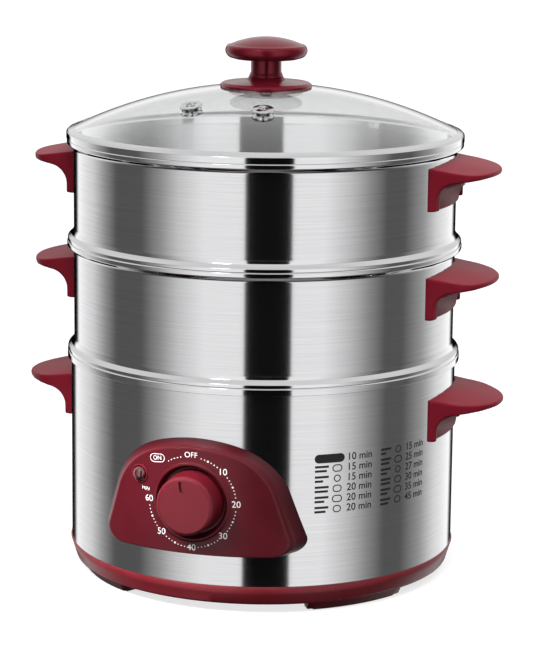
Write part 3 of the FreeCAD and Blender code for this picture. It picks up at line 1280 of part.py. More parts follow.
cap_low = glass_top + S.knob_neck_rise
cap_crease = cap_low + S.knob_crease_rise
cap_top = glass_top + S.knob_top_rise
crown_edge = S.knob_cap_radius - 1.4
crown_rise = cap_top - cap_crease
crown = (crown_edge * crown_edge + crown_rise * crown_rise) / (crown_rise * 2)
lid_knob = turned("lid_knob", (
    (S.post_radius + S.weld_gap, knob_foot),
    (S.neck_radius + 1.8, knob_foot),
    (S.neck_radius, knob_foot + 4),
    (S.neck_radius, cap_low),
    (S.knob_cap_radius - 5.4, cap_low),
    (S.knob_cap_radius, cap_low + 5.4),
    (crown_edge, cap_crease),
    (ZERO, cap_top),
    (ZERO, cap_low + S.post_bore),
    (S.post_radius + S.weld_gap, cap_low + S.post_bore)),
    bends={1: Size(-7), 4: Size(5.5), 5: Size(5.0), 6: crown})

under_glass = dome_centre + inner_dome_radius
washer_top = under_glass - S.glass_gap
washer_low = washer_top - S.washer_height
lid_knob_washer = turned("lid_knob_washer", (
    (post_hole, washer_low),
    (S.washer_radius - 0.6, washer_low),
    (S.washer_radius, washer_low + 1.2),
    (S.washer_radius, washer_top),
    (post_hole, washer_top)))
lid_knob_screw = screw("lid_knob_screw", S.post_radius, cap_low + S.post_grip - washer_low,
                       S.post_head, S.post_head_height, z=washer_low)

# ------------------------------------------------------------------ check and write

NODES = {
    "base_ring": base_ring_part,
    "rubber_feet": rubber_feet,
    "bottom_cover": bottom_cover,
    "bottom_screws": bottom_screws,
    "outer_housing": outer_housing,
    "water_pot": water_pot,
    "pot_brackets": pot_brackets,
    "stay_rods": stay_rods,
    "stay_nuts": stay_nuts,
    "heating_plate": heating_plate,
    "heating_element": heating_element,
    "thermostat": thermostat,
    "thermal_fuse": thermal_fuse,
    "control_panel": control_panel,
    "panel_screws": panel_screws,
    "indicator_lens": lamp_lens,
    "indicator_lamp": neon_lamp,
    "timer_body": timer_body,
    "timer_screws": timer_screws,
    "timer_shaft": timer_shaft,
    "timer_knob": timer_knob,
    "power_inlet": power_inlet,
    "inlet_pins": inlet_pins,
    "inlet_screws": inlet_screws,
    "middle_basket": middle_basket,
    "upper_basket": upper_basket,
    "steam_vent_left": vents[0],
    "steam_vent_right": vents[1],
    "lid_glass": lid_glass,
    "lid_rim": lid_rim,
    "lid_knob_base": lid_knob_base,
    "lid_knob": lid_knob,
    "lid_knob_washer": lid_knob_washer,
    "lid_knob_screw": lid_knob_screw,
}
for fittings in (base_handles, middle_handles, upper_handles):
    for fitting in fittings:
        NODES[fitting.Label] = fitting

doc.recompute()
for thing in doc.Objects:
    if "Invalid" in thing.State or "Error" in thing.State:
        raise RuntimeError(f"{thing.Label} did not recompute: {thing.State}")
os.makedirs("parts", exist_ok=True)
for node, thing in NODES.items():
    shape = thing.Shape
    if shape.isNull() or not shape.isValid() or shape.Volume <= 0:
        raise RuntimeError(f"{node} has no valid solid")
    shape.exportStep(f"parts/{node}.step")
    print(node, len(shape.Solids), round(shape.Volume, 1))
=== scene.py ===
import json
import math

import bmesh
import bpy
import numpy as np
from mathutils import Matrix, Vector


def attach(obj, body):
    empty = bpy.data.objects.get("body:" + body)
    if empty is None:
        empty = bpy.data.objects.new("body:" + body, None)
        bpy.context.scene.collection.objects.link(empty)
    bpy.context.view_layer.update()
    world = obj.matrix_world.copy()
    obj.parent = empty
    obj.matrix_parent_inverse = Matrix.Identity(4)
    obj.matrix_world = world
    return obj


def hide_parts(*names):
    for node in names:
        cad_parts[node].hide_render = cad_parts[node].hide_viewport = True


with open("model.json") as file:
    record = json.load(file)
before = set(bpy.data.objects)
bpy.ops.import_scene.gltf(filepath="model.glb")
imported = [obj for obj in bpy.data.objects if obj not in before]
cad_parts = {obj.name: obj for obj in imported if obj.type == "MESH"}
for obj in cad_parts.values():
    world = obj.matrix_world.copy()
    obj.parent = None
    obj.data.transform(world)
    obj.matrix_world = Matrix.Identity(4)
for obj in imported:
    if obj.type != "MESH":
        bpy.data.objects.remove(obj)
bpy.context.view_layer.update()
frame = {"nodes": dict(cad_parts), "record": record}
NODES = frame["nodes"]
BODIES = frame["record"]["behaviour"]["bodies"]
BODY_OF = {node: body for body, members in BODIES.items() for node in members}
SLOT_OF = {part["node"]: part["material_slot"] for part in frame["record"]["subparts"]}
MM = 0.001

# ---- sizes in mm, the same as the solids have

# outer radii of the rolled rims, the vessels' walls, the base's housing and the polished beads
RIM, VESSEL, HOUSING, BEAD = 142.0, 137.2, 139.2, 141.6
# the steel sheet, the play of a neck in the mouth below it, and the depth of a neck
SHEET, NECK_GAP, NECK_DEPTH = 0.8, 0.5, 8.0
MOUTH = VESSEL - SHEET
NECK = MOUTH - NECK_GAP
# heights of the housing's foot, and of the tops of the base and of the two baskets
HOUSING_FOOT, BASE_TOP, MIDDLE_TOP, UPPER_TOP = 20.4, 160.3, 239.7, 313.0
# the lid's glass: radius of its outer sphere, rise over the upper rim, thickness
DOME_CURVE, DOME_RISE, GLASS = 315.0, 38.0, 3.5
GLASS_TOP = UPPER_TOP + DOME_RISE
DOME_CENTRE = GLASS_TOP - DOME_CURVE
# the panel's middle stands off -Y towards -X, the camera towards +X
PANEL_TURN, CAMERA_TURN = math.radians(2.8), math.radians(16.0)

# ---- small helpers


def linear(colour):
    """sRGB hex to the linear RGBA that shaders take."""
    parts = [int(colour[i:i + 2], 16) / 255 for i in (1, 3, 5)]
    return tuple(c / 12.92 if c <= 0.04045 else ((c + 0.055) / 1.055) ** 2.4 for c in parts) + (1.0,)


def feed(tree, node, inputs):
    """Set a node's inputs: each takes a plain value, a socket, or a node for that node's first output."""
    for key, value in inputs.items():
        if isinstance(value, bpy.types.Node):
            value = value.outputs[0]
        if isinstance(value, bpy.types.NodeSocket):
            tree.links.new(value, node.inputs[key])
        else:
            node.inputs[key].default_value = value


def add(tree, kind, inputs=None, stops=(), **settings):
    """Add a shader node with its inputs and settings.  stops are the (position, colour) pairs of a colour
    ramp, where a number stands for a grey."""
    made = tree.nodes.new(f"ShaderNode{kind}")
    for name, value in settings.items():
        setattr(made, name, value)
    feed(tree, made, inputs or {})
    while stops and len(made.color_ramp.elements) < len(stops):
        made.color_ramp.elements.new(0.5)
    for element, (place, colour) in zip(made.color_ramp.elements if stops else (), stops):
        element.position = place
        element.color = colour if isinstance(colour, tuple) else (colour, colour, colour, 1.0)
    return made


def placed(name, data):
    """New object with a mesh, camera or light as its data, linked to the scene."""
    made = bpy.data.objects.new(name, data)
    bpy.context.scene.collection.objects.link(made)
    return made


def points_of(mesh):
    """Vertices of a mesh as rows of x, y, z."""
    points = np.empty(len(mesh.vertices) * 3, np.float32)
    mesh.vertices.foreach_get("co", points)
    return points.reshape(-1, 3)


def move_points(mesh, points):
    """Give a mesh's vertices new places."""
    mesh.vertices.foreach_set("co", points.ravel())
    mesh.update()


def smooth(mesh):
    """Shade every face smooth."""
    mesh.polygons.foreach_set("use_smooth", np.ones(len(mesh.polygons), bool))


def mesh_of(curve):
    """Mesh of a filled curve or of letters; the curve goes."""
    holder = bpy.data.objects.new(curve.name, curve)
    mesh = bpy.data.meshes.new_from_object(holder)
    bpy.data.objects.remove(holder)
    bpy.data.curves.remove(curve)
    return mesh


def freeze(piece, name=None):
    """Make the result of a piece's modifiers its mesh, under a name if one is given."""
    mesh = bpy.data.meshes.new_from_object(piece.evaluated_get(bpy.context.evaluated_depsgraph_get()))
    if name:
        mesh.name = name
    piece.modifiers.clear()
    piece.data = mesh
    return mesh


# ---- materials

# patterns in mm: brush streak, cloud of colour in a moulding, its texture, wave of the glass, ink's patches
STREAK, CLOUD, TEXTURE, WAVE, PATCH = 71.43, 28.57, 0.4545, 55.56, 1.111


def new_material(name):
    """Material with only a Principled shader; returns it with its tree and shader."""
    material = bpy.data.materials.new(name)
    material.use_nodes = True
    tree = material.node_tree
    return material, tree, tree.nodes["Principled BSDF"]


def mottle(tree, sizes, detail, rough=0.5):
    """Cloudy pattern from 0 to 1 on Object coordinates, with patches of the sizes (x, y, z) in mm."""
    place = add(tree, "TexCoord").outputs["Object"]
    scaled = add(tree, "Mapping", {"Vector": place, "Scale": [1000 / size for size in sizes]})
    return add(tree, "TexNoise", {"Vector": scaled, "Scale": 1.0, "Detail": detail, "Roughness": rough})


def steel(name, dark, light, rough, brush, grain, lines):
    """Bare metal.  The eye sees it by its reflections: drawn out up and down where the surface is brushed
    round the vessel, sharp where it is polished.  brush is how far they are drawn out, grain how deep the
    surface is scratched, and lines the spacing of the brush lines in mm."""
    material, tree, shader = new_material(name)
    # real brush lines are about 0.05 mm apart; they are drawn coarser so that a pixel can hold them
    streaks = mottle(tree, (STREAK, STREAK, lines), 4.0, 0.65)
    feed(tree, shader, {
        "Base Color": add(tree, "ValToRGB", {"Fac": streaks}, ((0.3, linear(dark)), (0.7, linear(light)))),
        "Roughness": add(tree, "MapRange", {"Value": streaks, "To Min": rough * 0.9, "To Max": rough * 1.1}),
        "Normal": add(tree, "Bump", {"Strength": grain, "Distance": 0.0004, "Height": streaks}),
        "Metallic": 1.0})
    if brush:
        feed(tree, shader, {
            "Tangent": add(tree, "Tangent", direction_type="RADIAL", axis="Z"),
            "Anisotropic": brush,
            "Anisotropic Rotation": 0.25})
    return material


def plastic(name, dark, light, rough, grain=0.12, gloss=0.5, coat=0.0, pearl=0.0):
    """Moulded plastic, rubber or ceramic: an even skin with a hint of mould texture, whose gloss is that
    of its surface.  pearl is the share of metal flake in it, which tints its highlights."""
    material, tree, shader = new_material(name)
    cloud = mottle(tree, (CLOUD, CLOUD, CLOUD), 2.0)
    # the texture of a mould is about 0.1 mm wide; it is drawn coarser so that it just shows
    skin = mottle(tree, (TEXTURE, TEXTURE, TEXTURE), 2.0)
    feed(tree, shader, {
        "Base Color": add(tree, "ValToRGB", {"Fac": cloud}, ((0.3, linear(dark)), (0.7, linear(light)))),
        "Roughness": add(tree, "MapRange", {"Value": cloud, "To Min": rough * 0.9, "To Max": rough * 1.15}),
        "Normal": add(tree, "Bump", {"Strength": grain, "Distance": 0.00005, "Height": skin}),
        "IOR": 1.45,
        "Specular IOR Level": gloss,
        "Coat Weight": coat,
        "Metallic": pearl})
    return material


def clear_glass(name):
    """Toughened lid glass: clear, faintly grey, with slight waves in its reflections.  Light for the
    inside of the steamer passes straight through."""
    material, tree, shader = new_material(name)
    waves = mottle(tree, (WAVE, WAVE, WAVE), 1.0)
    tints = (0.3, linear("#F4F7F6")), (0.7, linear("#FAFBFB"))
    feed(tree, shader, {
        "Base Color": add(tree, "ValToRGB", {"Fac": waves}, tints),
        "Normal": add(tree, "Bump", {"Strength": 0.1, "Distance": 0.0006, "Height": waves}),
        "Roughness": 0.02,
        "IOR": 1.5,
        "Transmission Weight": 1.0})
    shadow = add(tree, "LightPath").outputs["Is Shadow Ray"]
    through = add(tree, "BsdfTransparent", {"Color": linear("#F2F4F4")})
    mixed = add(tree, "MixShader", {0: shadow, 1: shader, 2: through})
    feed(tree, tree.nodes["Material Output"], {"Surface": mixed})
    return material


def print_ink(name, dark, light):
    """Screen-printed ink: matt, with a little mottling."""
    material, tree, shader = new_material(name)
    patches = mottle(tree, (PATCH, PATCH, PATCH), 2.0)
    feed(tree, shader, {
        "Base Color": add(tree, "ValToRGB", {"Fac": patches}, ((0.35, linear(dark)), (0.65, linear(light)))),
        "Roughness": 0.6})
    return material


# by material slot
MATERIALS = {
    # the skin of the vessels, which smears what it mirrors; rims, beads and pot, which show it sharp
    "brushed_steel": steel("Brushed_Stainless_Steel", "#C8C8CA", "#D3D3D4", 0.15, 0.96, 0.012, 0.9),
    "pressed_steel": steel("Polished_Stainless_Steel", "#CBCBCD", "#D6D6D7", 0.07, 0.0, 0.01, 2.5),
    # satin wine-red mouldings with soft highlights: panel, and the slightly brighter timer knob
    "wine_plastic": plastic("Wine_Red_ABS_Plastic", "#4E0D17", "#55111C", 0.34, 0.05, 0.34),
    "knob_plastic": plastic("Wine_Red_Knob_Plastic", "#661420", "#6D1926", 0.30, 0.05, 0.42),
    # clear glass that shows the food, dull black feet, bright vents, a dark lens with a hard glint
    "lid_glass": clear_glass("Toughened_Clear_Glass"),
    "black_rubber": plastic("Black_Rubber", "#161616", "#202020", 0.75, 0.4),
    "vent_metal": steel("Bright_Vent_Steel", "#C0C0C2", "#D0D0D2", 0.16, 0.0, 0.03, 2.0),
    "lamp_lens": plastic("Smoked_Red_Lens", "#3A0C0C", "#4A1416", 0.06, 0.0, 1.0, 1.0),
    # inside and underneath: amber bulb, bluish zinc, grey casting and sheaths, cream ceramic and nylon
    "lamp_bulb": plastic("Neon_Lamp_Glass", "#8A4A30", "#9A5638", 0.15, 0.0),
    "screw_steel": steel("Zinc_Plated_Screw_Steel", "#A8AAAC", "#BDBFC0", 0.28, 0.0, 0.10, 1.5),
    "cast_aluminium": steel("Cast_Aluminium", "#9C9EA0", "#B0B2B4", 0.45, 0.0, 0.30, 1.2),
    "heater_sheath": steel("Heater_Sheath_Steel", "#5E5A56", "#75706A", 0.42, 0.0, 0.15, 1.5),
    "thermostat_metal": steel("Thermostat_Can_Steel", "#A4A29C", "#B8B6B0", 0.35, 0.0, 0.10, 1.5),
    "fuse_ceramic": plastic("Glazed_Ceramic", "#D8D4CC", "#E4E0D8", 0.40),
    "timer_case": plastic("Timer_Body_Nylon", "#CFCBC0", "#DAD6CC", 0.50),
    # warm pale pins of the inlet, and the dull red washer that shows through the glass
    "pin_brass": steel("Nickel_Plated_Brass", "#B5A98A", "#C9BE9F", 0.25, 0.0, 0.05, 1.5),
    "washer_red": plastic("Red_Silicone_Rubber", "#8E2A33", "#9A323A", 0.55, 0.2),
}
BRUSHED, POLISHED = MATERIALS["brushed_steel"], MATERIALS["pressed_steel"]
# the grips have a finer spark finish than the panel, so they shine less at a low angle
GRIP_PLASTIC = plastic("Wine_Red_Satin_Plastic", "#801A2A", "#882030", 0.36, 0.05, 0.06)
# the base ring's red is set lighter than the panel's: painted light, for the light the floor would throw on
# its front
RING_PLASTIC_PAINTED_LIGHT = plastic("Wine_Red_Base_Plastic", "#741B25", "#7C212B", 0.34, 0.05, 0.4)
# the lid's knob comes from a polished mould, with pearl pigment: sharp, pink highlights
GLOSS_PLASTIC = plastic("Wine_Red_Pearl_Plastic", "#6E1423", "#761A2A", 0.24, 0.03, 0.3, 0.0, 0.4)
WHITE_INK = print_ink("White_Dial_Ink", "#F8F8F8", "#FFFFFF")
BLACK_INK = print_ink("Black_Chart_Ink", "#101012", "#111114")

# ---- numpy surfaces


# edges sharper than these stay edges: on copies of the solids, and where a cutter went through
CREASE, CUT_CREASE = math.radians(35), math.radians(32)


def mesh_object(name, points, quads, triangles=(), indices=None, materials=()):
    """Piece from numpy arrays: points in mm, quads and triangles as rows of point numbers, and for each
    face the number of its material."""
    points = np.asarray(points, np.float32) * MM
    quads = np.asarray(quads, np.int32).reshape(-1, 4)
    triangles = np.asarray(triangles, np.int32).reshape(-1, 3)
    mesh = bpy.data.meshes.new(name)
    mesh.vertices.add(len(points))
    mesh.vertices.foreach_set("co", points.ravel())
    loops = np.concatenate((quads.ravel(), triangles.ravel())).astype(np.int32)
    mesh.loops.add(len(loops))
    mesh.loops.foreach_set("vertex_index", loops)
    starts = np.concatenate((np.arange(len(quads)) * 4, len(quads) * 4 + np.arange(len(triangles)) * 3))
    mesh.polygons.add(len(starts))
    mesh.polygons.foreach_set("loop_start", starts.astype(np.int32))
    smooth(mesh)
    for material in materials:
        mesh.materials.append(material)
    if indices is not None:
        mesh.polygons.foreach_set("material_index", np.asarray(indices, np.int32))
    mesh.update(calc_edges=True)
    mesh.validate()
    return placed(name, mesh)


def adopt(piece, node, stands_for=()):
    """Let a finished piece ride with its CAD node's body and replace the nodes it stands for."""
    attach(piece, BODY_OF[node])
    if stands_for:
        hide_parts(*stands_for)
    return piece


# guide points stand this far outside an arc, or are left out below the second length; an arc takes at
# most this share of a side
GUIDE, LEAST_GUIDE, MOST_OF_SIDE = 0.25, 0.02, 0.49


def rounded(corners, steps, closed=None):
    """Polyline through (r, z, fillet, mark) corners in mm, the last two 0 where left out.  A fillet f at
    corner P between the unit directions u and v to its neighbours is the arc about
    P + (u+v)/|u+v| * f/sin(h), where h is half of the angle between u and v; it touches the sides f/tan(h)
    from P.  Guide points just outside each arc keep the straight parts straight when shaded.  The mark of
    a corner holds up to the next one.  A line whose ends both lie on the axis stays open."""
    corners = [(*corner, 0, 0)[:4] for corner in corners]
    place = np.array([corner[:2] for corner in corners], float)
    last = len(corners) - 1
    if closed is None:
        closed = place[0, 0] > 0 or place[last, 0] > 0
    points, marks = [], []
    for i, (_, _, fillet, mark) in enumerate(corners):
        if fillet == 0 or (not closed and i in (0, last)):
            points.append(place[i])
            marks.append(mark)
            continue
        to_last = place[i - 1] - place[i]
        to_next = place[(i + 1) % (last + 1)] - place[i]
        side = MOST_OF_SIDE * min(np.linalg.norm(to_last), np.linalg.norm(to_next))
        u, v = to_last / np.linalg.norm(to_last), to_next / np.linalg.norm(to_next)
        half = math.acos(np.clip(u @ v, -1, 1)) / 2
        touch = min(fillet / math.tan(half), side)
        middle = place[i] + (u + v) / np.linalg.norm(u + v) * touch / math.cos(half)
        start, stop = place[i] + u * touch - middle, place[i] + v * touch - middle
        turn = math.atan2(start[0] * stop[1] - start[1] * stop[0], start @ stop)
        angles = np.linspace(0, turn, steps)
        arc = np.stack((start[0] * np.cos(angles) - start[1] * np.sin(angles),
                        start[0] * np.sin(angles) + start[1] * np.cos(angles)), 1) + middle
        lead = min(GUIDE, side - touch)
        if lead > LEAST_GUIDE:
            points += [place[i] + u * (touch + lead), *arc, place[i] + v * (touch + lead)]
            marks += [corners[i - 1][3]] + [mark] * (steps + 1)
        else:
            points += [*arc]
            marks += [mark] * steps
    return np.array(points), np.array(marks), closed


def turned(name, corners, materials, steps=256, arc=7):
    """Surface of revolution: (r cos a, r sin a, z) for the profile's points and a = 2 pi k / steps.
    A point on the axis is one vertex; a closed profile joins its ends.  arc is the points of a fillet."""
    profile, marks, closed = rounded(corners, arc)
    angles = np.arange(steps) * 2 * math.pi / steps
    on_axis = profile[:, 0] < 1e-6
    sizes = np.where(on_axis, 1, steps)
    starts = np.cumsum(sizes) - sizes
    rings = [np.array([[0, 0, z]]) if axis else
             np.stack((r * np.cos(angles), r * np.sin(angles), np.full(steps, z)), 1)
             for (r, z), axis in zip(profile, on_axis)]
    around = np.arange(steps)
    onward = (around + 1) % steps
    quads, triangles, quad_marks, triangle_marks = [], [], [], []
    count = len(profile)
    for i in range(count if closed else count - 1):
        j = (i + 1) % count
        low, high = starts[i], starts[j]
        mark = np.full(steps, marks[i])
        if on_axis[i] and on_axis[j]:
            continue
        if on_axis[i]:
            triangles.append(np.stack((np.full(steps, low), high + onward, high + around), 1))
            triangle_marks.append(mark)
        elif on_axis[j]:
            triangles.append(np.stack((low + around, low + onward, np.full(steps, high)), 1))
            triangle_marks.append(mark)
        else:
            quads.append(np.stack((low + around, low + onward, high + onward, high + around), 1))
            quad_marks.append(mark)
    points = np.concatenate(rings)
    quads = np.concatenate(quads)
    triangles = np.concatenate(triangles) if triangles else np.zeros((0, 3), int)
    area = np.sum(profile[:, 0] * np.roll(profile[:, 1], -1) - np.roll(profile[:, 0], -1) * profile[:, 1])
    if area < 0:
        quads, triangles = quads[:, ::-1], triangles[:, ::-1]
    indices = np.concatenate(quad_marks + triangle_marks)
    return mesh_object(name, points, quads, triangles, indices, materials)


def merged_copy(node, material):
    """Copy of a CAD node with its triangles joined, shaded smooth up to a crease angle."""
    mesh = NODES[node].data.copy()
    mesh.name = f"{node}_skin"
    shape = bmesh.new()
    shape.from_mesh(mesh)
    bmesh.ops.remove_doubles(shape, verts=shape.verts, dist=1e-6)
    shape.to_mesh(mesh)
    shape.free()
    mesh.materials.clear()
    mesh.materials.append(material)
    smooth(mesh)
    mesh.set_sharp_from_angle(angle=CREASE)
    return adopt(placed(f"{node}_skin", mesh), node, (node,))


# ---- vessels

# a basket's rim starts to flare this far below its top, and its bead ends this far above its foot
FLARE_DROP, BEAD_RISE = 6.0, 8.3
# the marks of a vessel's profile name a finish of this pair
BRUSHED_POLISHED = (BRUSHED, POLISHED)
# points round a vessel
ROUND = 288


def basket_wall(name, foot, top):
    """Rolled rim, wall, polished bead and nesting neck of one basket, as a surface of revolution."""
    floor = foot - NECK_DEPTH
    flare = top - FLARE_DROP
    bead_top = foot + BEAD_RISE
    return turned(name, (
        (NECK - 2, floor, 0, 1),
        (NECK, floor, 2.0, 1),
        (NECK, foot, 0.3, 1),
        (BEAD, foot, 0.6, 1),
        (BEAD, foot + 2.4, 1.5, 1),
        (BEAD - 3.0, foot + 5.0, 4.0, 1),
        (VESSEL, bead_top, 5.0, 0),
        (VESSEL, flare, 2.5, 1),
        (RIM, top - 3.4, 1.2, 1),
        (RIM, top, 1.1, 1),
        (RIM - 2.6, top, 0.8, 1),
        (MOUTH, flare + 0.6, 2.0, 0),
        (MOUTH, bead_top + 0.3, 5.0, 0),
        (BEAD - SHEET - 2.6, foot + 5.0, 3.0, 0),
        (BEAD - SHEET, foot + 2.7, 1.0, 0),
        (BEAD - SHEET, foot + SHEET, 0.3, 0),
        (NECK - SHEET, foot + SHEET, 0.6, 0),
        (NECK - SHEET, floor + SHEET, 1.6, 0),
        (NECK - 2, floor + SHEET, 0, 0)),
        BRUSHED_POLISHED, ROUND)


# steam holes: their radius, the step from ring to ring, and how many each ring has
HOLE, HOLE_STEP, HOLE_COUNTS = 4.5, 34.0, (1, 6, 12, 18)
# the plate ends this far inside the neck, and the points round it and round a hole
FLOOR_PLAY, ROUND_PLATE, ROUND_HOLE = 1.8, 144, 32


def perforated_floor(name, z):
    """Round plate with rings of steam holes: a flat filled curve of circles (x + r cos a, y + r sin a),
    given its thickness."""
    outline = bpy.data.curves.new(name, "CURVE")
    outline.dimensions = "2D"
    outline.fill_mode = "BOTH"
    outline.extrude = SHEET / 2 * MM
    circles = [(0, 0, NECK - FLOOR_PLAY, ROUND_PLATE)]
    for ring, count in enumerate(HOLE_COUNTS):
        out = HOLE_STEP * ring
        turns = np.arange(count) * 2 * math.pi / count
        circles += [(out * math.cos(a), out * math.sin(a), HOLE, ROUND_HOLE) for a in turns]
    for x, y, radius, steps in circles:
        a = np.arange(steps) * 2 * math.pi / steps
        spline = outline.splines.new("POLY")
        spline.points.add(steps - 1)
        rows = np.stack((x + radius * np.cos(a), y + radius * np.sin(a), np.zeros(steps)), 1) * MM
        spline.points.foreach_set("co", np.concatenate((rows, np.ones((steps, 1))), 1).ravel())
        spline.use_cyclic_u = True
    mesh = mesh_of(outline)
    mesh.transform(Matrix.Translation((0, 0, (z + SHEET / 2) * MM)))
    mesh.materials.append(BRUSHED)
    return placed(name, mesh)


for tier, foot, top in (("middle", BASE_TOP, MIDDLE_TOP), ("upper", MIDDLE_TOP, UPPER_TOP)):
    wall = basket_wall(f"{tier}_basket_wall", foot, top)
    adopt(wall, f"{tier}_basket", (f"{tier}_basket",))
    adopt(perforated_floor(f"{tier}_basket_floor", foot - NECK_DEPTH), f"{tier}_basket")

housing = turned("outer_housing_wall", (
    (HOUSING - SHEET, HOUSING_FOOT),
    (HOUSING, HOUSING_FOOT, 0.1),
    (HOUSING, BASE_TOP - SHEET, 0.1),
    (HOUSING - SHEET, BASE_TOP - SHEET)),
    (BRUSHED,), ROUND)

# the water pot: radius, height of its floor, heights between which it widens, and depth of its rolled rim
POT, POT_FLOOR, POT_STEP, POT_MOUTH, RIM_HEIGHT = 104.0, 62.0, 118.0, 136.0, 5.0
pot = turned("water_pot_shell", (
    (0, POT_FLOOR - SHEET, 0, 1),
    (POT, POT_FLOOR - SHEET, 10.0, 1),
    (POT, POT_STEP, 6.0, 1),
    (VESSEL, POT_MOUTH, 6.0, 1),
    (VESSEL, BASE_TOP - SHEET, 0.2, 1),
    (RIM - SHEET, BASE_TOP - SHEET, 0.3, 1),
    (RIM - SHEET, BASE_TOP - RIM_HEIGHT, 0.2, 1),
    (RIM, BASE_TOP - RIM_HEIGHT, 0.3, 1),
    (RIM, BASE_TOP, 1.2, 1),
    (MOUTH, BASE_TOP, 0.8, 1),
    (MOUTH, POT_MOUTH + SHEET, 5.0, 1),
    (POT - SHEET, POT_STEP + SHEET, 6.0, 1),
    (POT - SHEET, POT_FLOOR, 9.2, 1),
    (0, POT_FLOOR, 0, 1)),
    BRUSHED_POLISHED)

# ---- lid


def dome(radius, curve=DOME_CURVE):
    """Height of a sphere of the lid at a distance r from the axis: centre + sqrt(curve^2 - r^2)."""
    return DOME_CENTRE + math.sqrt(curve * curve - radius * radius)


def dome_run(near, far, curve, count=40):
    """Profile points along a sphere of the lid."""
    return [(r, dome(r, curve)) for r in np.linspace(near, far, count)]


GLASS_EDGE = 140.8
glass = turned("lid_glass_dome",
               dome_run(0, GLASS_EDGE, DOME_CURVE - GLASS) + dome_run(GLASS_EDGE, 0, DOME_CURVE),
               (MATERIALS["lid_glass"],))

# the band: its outside, the groove that holds the glass, its inner lip, and how deep it nests
BAND, BAND_GROOVE, BAND_LIP, BAND_NECK = 142.3, 141.3, 137.0, 5.0
band = turned("lid_band", (
    (BAND, UPPER_TOP, 0.3),
    (BAND, UPPER_TOP + 4.4, 1.2),
    (BAND - 1.2, dome(BAND - 1.2) + 1.0, 0.5),
    (BAND_LIP, dome(BAND_LIP) + 0.9, 0.4),
    (BAND_LIP, dome(BAND_LIP) + 0.1),
    (BAND_GROOVE, dome(BAND_GROOVE) + 0.1),
    (BAND_GROOVE, UPPER_TOP + SHEET),
    (NECK - SHEET, UPPER_TOP + SHEET, 0.2),
    (NECK - SHEET, UPPER_TOP - BAND_NECK, 0.2),
    (NECK, UPPER_TOP - BAND_NECK, 0.2),
    (NECK, UPPER_TOP, 0.3)),
    (POLISHED,), ROUND)

# seat of the lid's knob: play over the glass, radius at the glass and at its top, bore, points round
SEAT_PLAY, SEAT, SEAT_TOP, SEAT_BORE, ROUND_KNOB = 0.1, 32.6, 12.6, 3.0, 128
KNOB_FOOT = GLASS_TOP + 5.2
seat_edge = dome(SEAT)
flange = turned("lid_knob_flange", (
    (SEAT_BORE, dome(SEAT_BORE, DOME_CURVE + SEAT_PLAY)),
    (SEAT, dome(SEAT, DOME_CURVE + SEAT_PLAY), 0.2),
    (SEAT + 0.4, seat_edge + 1.7, 0.8),
    (SEAT - 1.8, seat_edge + 3.4, 2.0),
    (SEAT_TOP + 1.6, KNOB_FOOT - 1.6, 2.0),
    (SEAT_TOP, KNOB_FOOT, 0.4),
    (SEAT_BORE, KNOB_FOOT)),
    (GLOSS_PLASTIC,), ROUND_KNOB)

# the cap: heights of its foot and apex, radii of its neck and bore, depth of the bore
CAP_LOW, CAP_TOP, CAP_NECK, CAP_BORE, BORE_DEPTH = GLASS_TOP + 18.4, GLASS_TOP + 34.0, 10.8, 2.6, 3
# its edge is an ellipse: radius of the middle, half axes, and the arc that shows
CAP_EDGE, CAP_EDGE_WIDE, CAP_EDGE_HIGH, CAP_ARC = 22.0, 7.3, 6.0, np.radians(np.linspace(-52, 38, 12))
# its crown is the sphere through the apex and a ring of this radius and height, up to where the edge starts
CROWN_RING, CROWN_SEAT, CROWN_END = 27.9, 9.2, 26.6
crown_rise = CAP_TOP - CAP_LOW - CROWN_SEAT
crown = (CROWN_RING ** 2 + crown_rise ** 2) / (2 * crown_rise)
crown_run = [(r, CAP_TOP - crown + math.sqrt(crown * crown - r * r))
             for r in np.linspace(CROWN_END, 0, 12)]
cap_edge = [(CAP_EDGE + CAP_EDGE_WIDE * math.cos(a), CAP_LOW + CAP_EDGE_HIGH * (1 + math.sin(a)))
            for a in CAP_ARC]
grip = turned("lid_knob_grip", [
    (CAP_BORE, KNOB_FOOT),
    (SEAT_TOP, KNOB_FOOT, 0.5),
    (CAP_NECK, KNOB_FOOT + 4, 4.0),
    (CAP_NECK, CAP_LOW, 1.5),
    (CAP_EDGE + 0.4, CAP_LOW, 3.5)] + cap_edge + crown_run + [
    (0, CAP_LOW + BORE_DEPTH),
    (CAP_BORE, CAP_LOW + BORE_DEPTH)],
    (GLOSS_PLASTIC,), ROUND_KNOB)

# ---- control panel

# radius of the panel's face about the steamer's axis
PANEL = HOUSING + 10.3
# its top and foot, the radii of crown, shoulders and lower corners, and the height of the dial
PANEL_TOP, PANEL_FOOT, CROWN, SHOULDER, CORNER, DIAL = 123.6, 44.2, 75.0, 48.0, 10.0, 81.0
# half of the crown's arc, the lean of the sides seen from the front, and of the walls out of the housing
CROWN_SPAN, SIDE_LEAN, WALL_LEAN = math.radians(22), math.radians(14), math.radians(24)
# the dial's well: radius at its mouth and floor, depth, and radius of its cup behind the face
WELL, WELL_FLOOR, WELL_DEPTH, CUP = 24.8, 23.6, 6.0, 26.8
# the bore for the timer's shaft, the bottom of the cup, the foot of the raised lip, the panel's wall
SHAFT_BORE, CUP_DEPTH, LIP_FOOT, PANEL_WALL = 5.2, WELL_DEPTH + 3, 30.2, 2.5
# rounding of the panel's edge, and how far the face's rim draws in for it
EDGE_ROUND = 1.7
EDGE_DRAW = EDGE_ROUND * 1.2
# the panel's walls end this far off the housing
WALL_END = HOUSING + 0.1
# points round the outline, and on each of its pieces
TURNS, PIECE = 720, 200
# turns what is built facing -Y to where the dial faces
FACING = Matrix.Rotation(-PANEL_TURN, 4, "Z")


